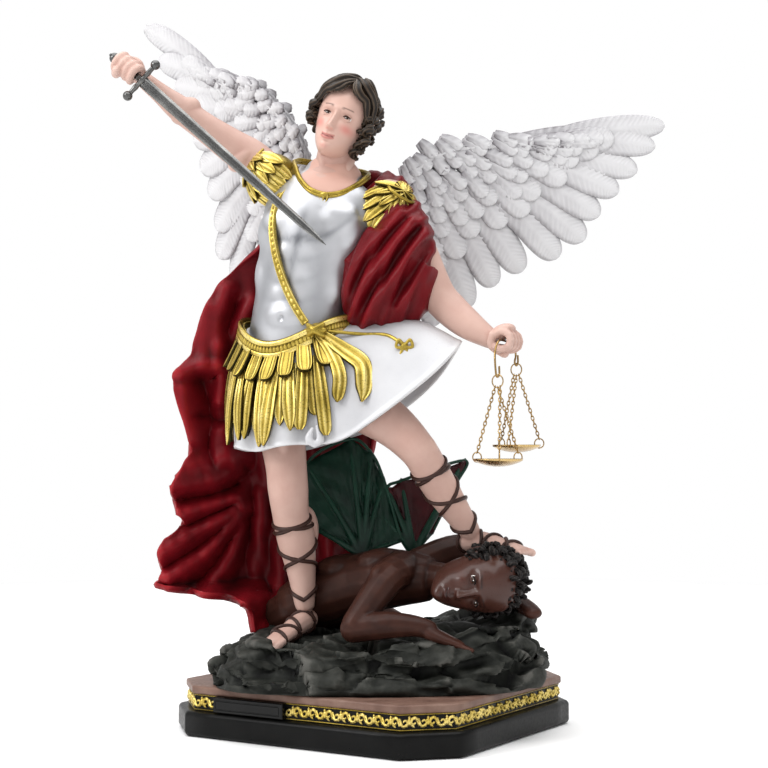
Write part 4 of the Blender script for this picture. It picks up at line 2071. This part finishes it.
def fine_pan(centre, sides=64):
    """A thin dished pan with a rolled rim and turned rings."""
    reach = np.linspace(0.02, 1, 22)
    deep = PAN_DEPTH - PAN_WALL
    profile = [(r, -PAN_DEPTH + PAN_WALL + deep * r**2.2 + 0.12 * math.cos(r * 40)) for r in reach]
    rim = [(1.012, 0.25), (1.03, 0.0), (1.012, -0.45)]
    outer = [(r, -PAN_DEPTH + (PAN_DEPTH - PAN_WALL - 0.4) * r**2.2) for r in reach[::-1]]
    rings = [(r * PAN_RADIUS * 0.975, z) for r, z in [*profile, *rim, *outer]]
    turn = np.linspace(0, 2 * math.pi, sides, endpoint=False)
    points = np.array(
        [
            (
                centre[0] + r * math.cos(a), centre[1] + r * math.sin(a), centre[2] + z
            ) for r, z in rings for a in turn
        ]
    )
    tones = np.array([0.35 + 0.5 * abs(r / PAN_RADIUS) ** 3 for r, _ in rings for _ in turn])
    return points, closed_rings(len(rings), sides), tones


def scales(brass):
    """Detailed wire, rings, chains and pans, in the places of their solids."""
    wire = tube([(*row[:3], WIRE_RADIUS, WIRE_RADIUS) for row in wire_path()], 14, (0.2, 0.1, 1), 8)
    piece("fine_scale_wire", wire, brass, "scale_wire")
    for which, (_, hang, rim) in zip(("front", "back"), HOOKS):
        ring = torus(hang, RING_PLANE, HANG_RING, RING_WIRE, 40, 12)
        piece(f"fine_hanging_ring_{which}", ring, brass, f"hanging_ring_{which}")
        piece(f"fine_pan_{which}", fine_pan(rim), brass, f"pan_{which}")
        for k in range(3):
            angle = 2 * math.pi * k / 3 + (0.5 if which == "front" else 0.1)
            out = np.array([math.cos(angle), math.sin(angle), 0])
            centre = rim + out * (PAN_RADIUS - 1.0) + np.array([0, 0, RIM_RING * 0.34])
            fine_ring = torus(centre, out, RIM_RING, RING_WIRE, 36, 10)
            piece(
                f"fine_rim_ring_{which}_{k + 1}", fine_ring, brass, f"rim_ring_{which}_{k + 1}",
            )
            spread = unit(RING_PLANE)
            turns = [angle + 2 * math.pi * m / 3 for m in range(3)]
            order = np.argsort([spread @ np.array([math.cos(a), math.sin(a), 0]) for a in turns])
            place = (int(np.where(order == 0)[0][0]) - 1) * HANG_SPREAD
            reach = spread * math.sin(place) - np.array([0, 0, 1]) * math.cos(place)
            top = hang + reach * (HANG_RING - RING_WIRE)
            bottom = centre + np.array([0, 0, RIM_RING - RING_WIRE])
            links = joined(chain_links(top, bottom))
            piece(f"fine_chain_{which}_{k + 1}", links, brass, f"chain_{which}_{k + 1}")


def name_plate(black):
    """The bare name plate with a bevelled edge and a fine sunk line inside it."""
    y = -PLINTH_DEPTH / 2 + BAND_INSET - SEAM_GAP
    x, low, back = PLATE_FROM_CENTRE, FOOT_HEIGHT - 0.4, y - PLATE_THICKNESS - 4.0
    half, tall = PLATE_LENGTH / 2, PLATE_HEIGHT * 0.84
    rows = [
        (0.0, 0.0), (0.0, 0.85), (0.7, 1.0), (2.2, 1.0), (2.5, 0.93), (3.0, 0.93), (3.3, 1.0), (4.2, 1.0)
    ]
    rings = []
    for inset, share in rows:
        depth = y + (back - y) * share
        rings += [
            (
                x + a * (half - inset), depth, low + 1.2 + tall / 2 + b * (tall / 2 - inset)
            ) for a, b in ((-1, -1), (1, -1), (1, 1), (-1, 1))
        ]
    form = (np.array(rings), closed_rings(len(rows), 4))
    return piece("bevelled_name_plate", form, black, "name_plate", False, False)


def ramp_of(tree):
    return [node for node in tree.nodes if node.type == "VALTORGB"][0]


def face_paint(name, roughness, coat):
    """Skin paint that takes its colour from the mesh, with a fine grain."""
    made = paint(
        name, [(0.0, 0.5, 0.5, 0.5), (1.0, 1.0, 1.0, 1.0)], roughness, grain=900, bump=0.05, coat=coat
    )
    tree = made.node_tree
    shader = tree.nodes["Principled BSDF"]
    tints = tree.nodes.new("ShaderNodeAttribute")
    tints.attribute_name = "paint"
    mixed = tree.nodes.new("ShaderNodeMix")
    mixed.data_type = "RGBA"
    mixed.blend_type = "MULTIPLY"
    mixed.inputs["Factor"].default_value = 0.12
    colours = ramp_of(tree)
    tree.links.new(tints.outputs["Color"], mixed.inputs["A"])
    tree.links.new(colours.outputs["Color"], mixed.inputs["B"])
    tree.links.new(mixed.outputs["Result"], shader.inputs["Base Color"])
    return made


def cloth_waves(mesh):
    """Smaller winding folds between the arm cloth's main ridges."""
    places, normals = mesh_arrays(mesh)[:2]
    c, s = math.cos(FIGURE_TURN), math.sin(FIGURE_TURN)
    x = (places[:, 0] * c + places[:, 1] * s) / MM
    z = places[:, 2] / MM
    along = 0.5 * x + 0.87 * z
    across = 0.87 * x - 0.5 * z + 6.0 * np.sin(along / 24.0) + 1.2 * np.sin(along / 11.0 + 1.0)
    out = 0.75 * np.sin(across * 0.50 + 0.6) + 0.35 * np.sin(across * 0.93 - 0.02 * along)
    moved = places + normals * (out * MM)[:, None]
    mesh.vertices.foreach_set("co", moved.reshape(-1).astype(np.float32))
    mesh.update()


def plate_shade(mesh):
    """Darker airbrushed shade in the breastplate's grooves: midline, belly rows, chest edge and flanks."""
    left, back, _ = body_axes()
    places = mesh_arrays(mesh)[0]
    centres = np.array([spine_at(h)[:3] for h in range(300, 480)], float)
    heights = np.interp(places[:, 2] / MM, centres[:, 2], centres[:, 2])
    index = np.clip((heights - centres[0, 2]).astype(int), 0, len(centres) - 1)
    away = places - row_frame(centres)[index]
    c, s = math.cos(FIGURE_TURN), math.sin(FIGURE_TURN)
    across = away @ np.array((left[0] * c - left[1] * s, left[0] * s + left[1] * c, left[2]))
    behind = away @ np.array((back[0] * c - back[1] * s, back[0] * s + back[1] * c, back[2]))
    angle = np.arctan2(across, -behind)
    front = np.exp(-((angle / 0.62) ** 4))
    midline = np.clip((heights - 340) / 12, 0, 1) * np.clip((428 - heights) / 14, 0, 1)
    shade = 0.22 * np.exp(-(((angle + 0.02) / 0.10) ** 2)) * midline
    for row in (345, 362, 379):
        shade += 0.13 * np.exp(-(((heights - row - 9 * angle**2) / 3.6) ** 2)) * front
    side = np.abs(angle)
    chest = 397 + 60 * np.clip(side - 0.45, 0, 1) ** 2
    shade += 0.30 * np.exp(-(((heights - chest) / 4.0) ** 2)) * np.exp(-((angle / 0.95) ** 6))
    flank = np.exp(-(((side - 0.74 + 0.004 * (heights - 360)) / 0.22) ** 2))
    shade += 0.16 * flank * np.clip((392 - heights) / 16, 0, 1)
    shade += 0.16 * np.clip((side - 0.9) / 0.5, 0, 1)
    tones = np.empty(len(places), np.float32)
    mesh.attributes["tone"].data.foreach_get("value", tones)
    set_tones(mesh, np.clip(tones * 0.5 + 0.40 - shade, 0, 1))


def bare_inside_collar(made, mesh, skin_colour):
    """Paints the breastplate's skin-side, inside the collar, in the colour of skin."""
    line = row_frame(smooth_rows(COLLAR_LINE, 8)[:-1])
    middle = line.mean(axis=0)
    turn = np.arctan2(line[:, 1] - middle[1], line[:, 0] - middle[0])
    order = np.argsort(turn)
    places = mesh_arrays(mesh)[0]
    around = np.arctan2(places[:, 1] - middle[1], places[:, 0] - middle[0])
    edge = np.interp(around, turn[order], line[order, 2], period=2 * math.pi)
    above = (places[:, 2] - edge) / MM
    set_tones(mesh, np.clip((above + 0.6) / 0.8, 0, 1), "bare")
    tree = made.node_tree
    shader = tree.nodes["Principled BSDF"]
    bare = tree.nodes.new("ShaderNodeAttribute")
    bare.attribute_name = "bare"
    mixed = tree.nodes.new("ShaderNodeMix")
    mixed.data_type = "RGBA"
    mixed.inputs["B"].default_value = (*skin_colour, 1)
    colours = ramp_of(tree)
    tree.links.new(bare.outputs["Fac"], mixed.inputs["Factor"])
    tree.links.new(colours.outputs["Color"], mixed.inputs["A"])
    tree.links.new(mixed.outputs["Result"], shader.inputs["Base Color"])
    metal = mapped(tree, bare.outputs["Fac"], 0.0, 1.0, 0.9, 0.0)
    tree.links.new(metal.outputs["Result"], shader.inputs["Metallic"])


def set_tints(mesh, tints):
    """Gives each point of a face its own colour."""
    colours = np.column_stack([tints, np.ones(len(tints))]).astype(np.float32)
    mesh.attributes.new("paint", "FLOAT_COLOR", "POINT").data.foreach_set("color", colours.reshape(-1))


def add_head(prefix, size, axes, centre, paints, colours, hair_forms):
    """Face, lids, ears, eyes and hair of one head; paints are of skin, hair, eyes and lashes."""
    skin_paint, hair_paint, eye_paint, lash_paint = paints
    form, tints = face_grid(size, FACE_ROWS, FACE_COLUMNS, colours)
    face = piece(f"{prefix}_face", placed(form, axes, centre), skin_paint)
    set_tints(face.data, tints)
    lids, lashes = eyelids(size)
    skin = np.array(colours[0])
    extra = joined([placed(f, axes, centre) for f in lids + ears(size)])
    lid = piece(f"{prefix}_lids", extra, skin_paint)
    set_tints(lid.data, np.tile(skin * 0.93, (len(lid.data.vertices), 1)))
    piece(f"{prefix}_lashes", joined([placed(f, axes, centre) for f in lashes]), lash_paint)
    eyes = eyeballs(size)
    turned = [(*placed(f[:2], axes, centre), f[2]) for f in eyes]
    piece(f"{prefix}_eyes", joined(turned), eye_paint)
    locks = [(*placed(f[:2], axes, centre), *f[2:]) for f in hair_forms]
    piece(f"{prefix}_hair", joined(locks), hair_paint)


def sandals():
    """The straps of both sandals: wound round the shins, and bands over the feet."""
    forms = wound(LEG_RIGHT, 0.60, 0.985, 2.0) + wound(LEG_LEFT, 0.555, 0.985, 2.0)
    feet = ((FOOT_RIGHT, (0.02, 0.22, 0.45, 0.62, 0.80)), (FOOT_LEFT, (0.02, 0.25, 0.48, 0.66, 0.84)))
    for stations, places in feet:
        ahead = unit(np.array(stations[-1][:3]) - np.array(stations[0][:3]))
        across = unit(np.cross(ahead, (0, 0, 1)))
        up = np.cross(across, ahead)
        for number, share in enumerate(places):
            row = np.array([np.interp(share * 3, range(4), [s[k] for s in stations]) for k in range(5)])
            lean = 5.0 * (1 if number % 2 else -1)
            band = []
            for angle in np.linspace(0, 2 * math.pi, 25):
                spot = round_limb(row, across, up, angle, 0.7)
                band.append((*(spot + ahead * lean * math.cos(angle)), 1.5, 1.5))
            forms.append(tube(band, 10, up, 1))
    return forms


# Each paint's ramp from hollow to crest, as a tone and its colour, and its finish
PAINTS = dict(
    skin_paint=(
        [
            (0.0, 0.20, 0.08, 0.06), (0.3, 0.40, 0.225, 0.185), (0.6, 0.53, 0.35, 0.295),
            (1.0, 0.66, 0.48, 0.42)
        ],
        dict(roughness=0.42, mottle=0.06, coat=0.05, grain=900, bump=0.05, gleam=0.18)
    ),
    silver_paint=(
        [
            (0.0, 0.05, 0.05, 0.06), (0.3, 0.20, 0.205, 0.22), (0.6, 0.43, 0.435, 0.455),
            (1.0, 0.72, 0.72, 0.74)
        ],
        dict(roughness=0.44, metallic=0.80, mottle=0.05, grain=120, bump=0.0, worn=18)
    ),
    gold_paint=(
        [
            (0.0, 0.020, 0.015, 0.003), (0.25, 0.10, 0.070, 0.010), (0.5, 0.29, 0.205, 0.030),
            (0.8, 0.56, 0.415, 0.085), (1.0, 0.82, 0.66, 0.23)
        ],
        dict(roughness=0.30, metallic=0.70, mottle=0.14, grain=700, bump=0.15)
    ),
    red_paint=(
        [
            (0.0, 0.006, 0.001, 0.001), (0.30, 0.045, 0.002, 0.003), (0.52, 0.115, 0.003, 0.006),
            (0.8, 0.20, 0.006, 0.011), (1.0, 0.29, 0.015, 0.020)
        ],
        dict(roughness=0.42, mottle=0.08, coat=0.0, grain=500, bump=0.08, gleam=0.14)
    ),
    white_paint=(
        [
            (0.0, 0.20, 0.20, 0.22), (0.35, 0.38, 0.38, 0.40), (0.6, 0.54, 0.54, 0.555),
            (1.0, 0.66, 0.66, 0.67)
        ],
        dict(roughness=0.32, mottle=0.03, coat=0.10, grain=700, bump=0.04)
    ),
    hair_paint=(
        [
            (0.0, 0.003, 0.002, 0.0015), (0.4, 0.014, 0.009, 0.006), (0.8, 0.046, 0.030, 0.019),
            (1.0, 0.095, 0.066, 0.042)
        ],
        dict(roughness=0.42, mottle=0.10, coat=0.0, grain=900, bump=0.12)
    ),
    sandal_paint=(
        [(0.0, 0.010, 0.004, 0.003), (0.5, 0.035, 0.014, 0.010), (1.0, 0.080, 0.036, 0.026)],
        dict(roughness=0.42, mottle=0.1, grain=700, bump=0.2)
    ),
    eye_paint=(
        [
            (0.0, 0.006, 0.004, 0.004), (0.2, 0.05, 0.022, 0.012), (0.42, 0.10, 0.045, 0.02),
            (0.9, 0.86, 0.84, 0.81)
        ],
        dict(roughness=0.15, mottle=0.0, coat=0.5, bump=0.0)
    ),
    dark_skin_paint=(
        [
            (0.0, 0.002, 0.001, 0.001), (0.35, 0.015, 0.005, 0.0035), (0.6, 0.042, 0.015, 0.010),
            (1.0, 0.11, 0.046, 0.033)
        ],
        dict(roughness=0.40, mottle=0.10, coat=0.0, grain=700, bump=0.10, gleam=0.15)
    ),
    black_hair_paint=(
        [(0.0, 0.001, 0.001, 0.001), (0.5, 0.006, 0.005, 0.005), (1.0, 0.030, 0.024, 0.022)],
        dict(roughness=0.40, mottle=0.1, coat=0.0, grain=900, bump=0.12, gleam=0.15)
    ),
    green_paint=(
        [
            (0.0, 0.001, 0.002, 0.0015), (0.4, 0.003, 0.016, 0.010), (0.7, 0.009, 0.042, 0.026),
            (1.0, 0.035, 0.085, 0.060)
        ],
        dict(roughness=0.38, mottle=0.12, coat=0.0, grain=500, bump=0.25, gleam=0.2)
    ),
    maroon_paint=(
        [
            (0.0, 0.005, 0.001, 0.001), (0.4, 0.022, 0.003, 0.004), (0.7, 0.060, 0.006, 0.009),
            (1.0, 0.12, 0.022, 0.024)
        ],
        dict(roughness=0.40, mottle=0.12, coat=0.0, grain=500, bump=0.25, gleam=0.2)
    ),
    rock_paint=(
        [
            (0.0, 0.002, 0.002, 0.002), (0.35, 0.008, 0.009, 0.007), (0.55, 0.017, 0.018, 0.015),
            (0.8, 0.036, 0.037, 0.032), (1.0, 0.080, 0.078, 0.070)
        ],
        dict(roughness=0.60, mottle=0.16, grain=420, bump=0.35, worn=130, gleam=0.15)
    ),
    wing_white_paint=(
        [
            (0.0, 0.18, 0.17, 0.18), (0.20, 0.36, 0.35, 0.365), (0.5, 0.50, 0.492, 0.505),
            (0.8, 0.60, 0.595, 0.605)
        ],
        dict(roughness=0.50, mottle=0.10, coat=0.0, grain=900, bump=0.10, gleam=0.15)
    ),
    plinth_black_paint=(
        [(0.0, 0.001, 0.001, 0.001), (1.0, 0.005, 0.005, 0.0048)],
        dict(roughness=0.34, mottle=0.3, grain=400, bump=0.05, gleam=0.12)
    ),
    slab_paint=(
        [(0.0, 0.075, 0.037, 0.027), (0.5, 0.155, 0.088, 0.066), (1.0, 0.24, 0.155, 0.12)],
        dict(roughness=0.45, mottle=0.3, grain=400, bump=0.1)
    ),
    plate_paint=(
        [(0.0, 0.001, 0.001, 0.001), (1.0, 0.005, 0.005, 0.005)],
        dict(roughness=0.16, mottle=0.3, coat=0.0, bump=0.02, gleam=0.2)
    ),
    sword_paint=(
        [(0.0, 0.03, 0.03, 0.03), (0.5, 0.11, 0.11, 0.108), (1.0, 0.38, 0.38, 0.365)],
        dict(roughness=0.28, metallic=0.95, mottle=0.16, grain=900, bump=0.12)
    ),
    brass_metal=(
        [(0.0, 0.10, 0.055, 0.020), (0.5, 0.36, 0.23, 0.085), (1.0, 0.66, 0.48, 0.22)],
        dict(roughness=0.24, metallic=0.95, mottle=0.18, grain=900, bump=0.08)
    ),
)


def build():
    coats = [paint(name, ramp, **finish) for name, (ramp, finish) in PAINTS.items()]
    skin, silver, gold, red, white, brown, leather, eyes, dark_skin = coats[:9]
    black_hair, green, maroon, stone, feathers, black, slab_brown, gloss, steel, brass = coats[9:]

    moulded("skin", flesh(), skin, 1.0, 4, 16, 1.6)
    plate = moulded(
        "breastplate", breastplate(), silver, 1.3, 50, 60, 5.0, dimple(on_trunk(-0.05, 333, 3), 2.6, 2.6)
    )
    plate_shade(plate.data)
    bare_inside_collar(silver, plate.data, (0.53, 0.315, 0.255))
    head_axes = turned_axes(HEAD_ROLL, HEAD_TURN)
    tints = (
        (0.60, 0.385, 0.32), (0.45, 0.12, 0.105), (0.60, 0.19, 0.16), (0.050, 0.026, 0.016),
        (0.32, 0.15, 0.11)
    )
    light_face = face_paint("face_paint", 0.38, 0.15)
    hair = curly_hair(HEAD_SIZE) + fringe(HEAD_SIZE)
    add_head("angel", HEAD_SIZE, head_axes, HEAD_CENTRE, (light_face, brown, eyes, leather), tints, hair)
    dark_tints = (
        (0.055, 0.020, 0.014), (0.040, 0.010, 0.008), (0.070, 0.022, 0.015), (0.004, 0.003, 0.003),
        (0.018, 0.006, 0.005)
    )
    dark_face = face_paint("dark_face_paint", 0.33, 0.2)
    dark_paints = (dark_face, black_hair, eyes, black_hair)
    curls = dark_hair(FALLEN_HEAD_SIZE)
    add_head(
        "fallen", FALLEN_HEAD_SIZE, FALLEN_HEAD_AXES, FALLEN_HEAD_CENTRE, dark_paints, dark_tints, curls
    )

    grown("tunic", tunic(), white, 40, 2.6)
    moulded("tunic_knot", knotted_fold(), white, 0.7, 4, 8, 1.0)
    form = waist_band(belt_height, -5.2, 6.4, 7.2, belt_relief, 480, 15, 5.0)
    piece("gilt_belt", form, gold)
    piece("gilt_tabs", joined(gilt_tabs()), gold)
    piece("gilt_leaves", joined(gilt_leaves()), gold)
    piece("sash_ribbon", joined(ribbon()), gold)
    moulded("sash_cord", thin_cord(), gold, 0.6, 2, 8, 0.8)
    piece("baldric", joined(baldric()), gold)
    piece("collar", joined(gilt_collar()), gold)
    right = gilt_shoulder((-86, 4, 454), (-0.75, -0.1, 0.55), (-0.5, -0.35, -0.8))
    left = gilt_shoulder((8, -20, 420), (0.55, -0.45, 0.75), (-0.25, -0.55, -0.8))
    piece("shoulder_right", joined(right), gold)
    piece("shoulder_left", joined(left), gold)
    grown("cape", cape_cloth(), red, 60, 5.0)
    moulded("arm_cloth", shoulder_cloth(120, 10), red, 1.1, 14, 50, 7.0, cloth_waves)
    piece("sandal_straps", joined(sandals()), leather)

    fallen = fallen_body() + [muscle(*m) for m in FALLEN_MUSCLES]
    moulded("fallen_body", fallen, dark_skin, 1.1, 4, 16, 2.0)
    for number, (root, edge, web) in enumerate(BAT_WINGS):
        front = green if number == 0 else maroon
        piece(f"bat_wing_front_{number + 1}", wing_web(root, edge, web, -1.4, 2.4), front)
        piece(f"bat_wing_back_{number + 1}", wing_web(root, edge, web, 1.4, 2.4), green)
        moulded(f"bat_wing_ribs_{number + 1}", wing_ribs(root, edge), green, 0.8, 2, 8, 1.0)
    grown("rocks", crag(), stone, 14, 3.4)

    for name, place in (("wing_left", WING_LEFT), ("wing_right", WING_RIGHT)):
        piece(f"feathered_{name}", joined(feathered(place)), feathers, name)

    base = rounded(0.2, FOOT_HEIGHT, 0.0, 4.2)
    piece("plinth_foot", moulding(base, 8), black, "plinth", False)
    band = [(FOOT_HEIGHT - 1, BAND_INSET), (FOOT_HEIGHT + BAND_HEIGHT + 1, BAND_INSET)]
    piece("plinth_band", moulding(band), black, "plinth", False, False)
    top = rounded(FOOT_HEIGHT + BAND_HEIGHT, PLINTH_TOP, SLAB_INSET, 1.8)
    piece("plinth_slab", moulding(top, 8), slab_brown, "plinth", False)
    piece("plinth_scrolls", joined(scroll_band()), gold, "plinth", False)
    name_plate(gloss)
    piece("ridged_sword", joined(detailed_sword()), steel, "sword")
    scales(brass)


def soft_light(name, place, size, power):
    light = bpy.data.lights.new(name, "AREA")
    light.size = size
    light.energy = power
    lamp = bpy.data.objects.new(name, light)
    lamp.location = place
    lamp.rotation_euler = (Vector(LIGHT_AIM) - Vector(place)).to_track_quat("-Z", "Y").to_euler()
    bpy.context.scene.collection.objects.link(lamp)


def stage():
    """Pale floor, soft studio light and the camera."""
    turns = np.linspace(0, 2 * math.pi, FLOOR_SIDES, endpoint=False)
    ring = [(FLOOR_RADIUS * math.cos(a), FLOOR_RADIUS * math.sin(a), 0) for a in turns]
    mesh = bpy.data.meshes.new("floor")
    mesh.from_pydata(ring, [], [list(range(FLOOR_SIDES))])
    floor = bpy.data.objects.new("floor", mesh)
    bpy.context.scene.collection.objects.link(floor)
    pale = paint("floor_paint", [(0.0, 0.90, 0.90, 0.90), (1.0, 0.94, 0.94, 0.94)], 0.7, grain=30, bump=0.0)
    mesh.materials.append(pale)
    world = bpy.data.worlds.new("soft_sky")
    world.use_nodes = True
    tree = world.node_tree
    heading = tree.nodes.new("ShaderNodeTexCoord")
    split = tree.nodes.new("ShaderNodeSeparateXYZ")
    tree.links.new(heading.outputs["Generated"], split.inputs["Vector"])
    fade = mapped(tree, split.outputs["Z"], *SKY_FADE)
    fade.interpolation_type = "SMOOTHSTEP"
    background = tree.nodes["Background"]
    background.inputs["Color"].default_value = (1.0, 1.0, 1.0, 1)
    tree.links.new(fade.outputs["Result"], background.inputs["Strength"])
    bpy.context.scene.world = world
    bpy.context.scene.view_settings.view_transform = "Standard"
    for light in LIGHTS:
        soft_light(*light)
    camera = bpy.data.cameras.new("camera")
    camera.lens = FOCAL_PIXELS / IMAGE_WIDTH * SENSOR_WIDTH
    camera.sensor_width = SENSOR_WIDTH
    camera.shift_x = CENTRE_SHIFT / IMAGE_WIDTH
    eye = bpy.data.objects.new("camera", camera)
    eye.location = row_frame([(0, -CAMERA_DISTANCE, CAMERA_HEIGHT)])[0]
    eye.rotation_euler = (CAMERA_TILT, 0, FIGURE_TURN)
    bpy.context.scene.collection.objects.link(eye)
    bpy.context.scene.camera = eye


build()
stage()
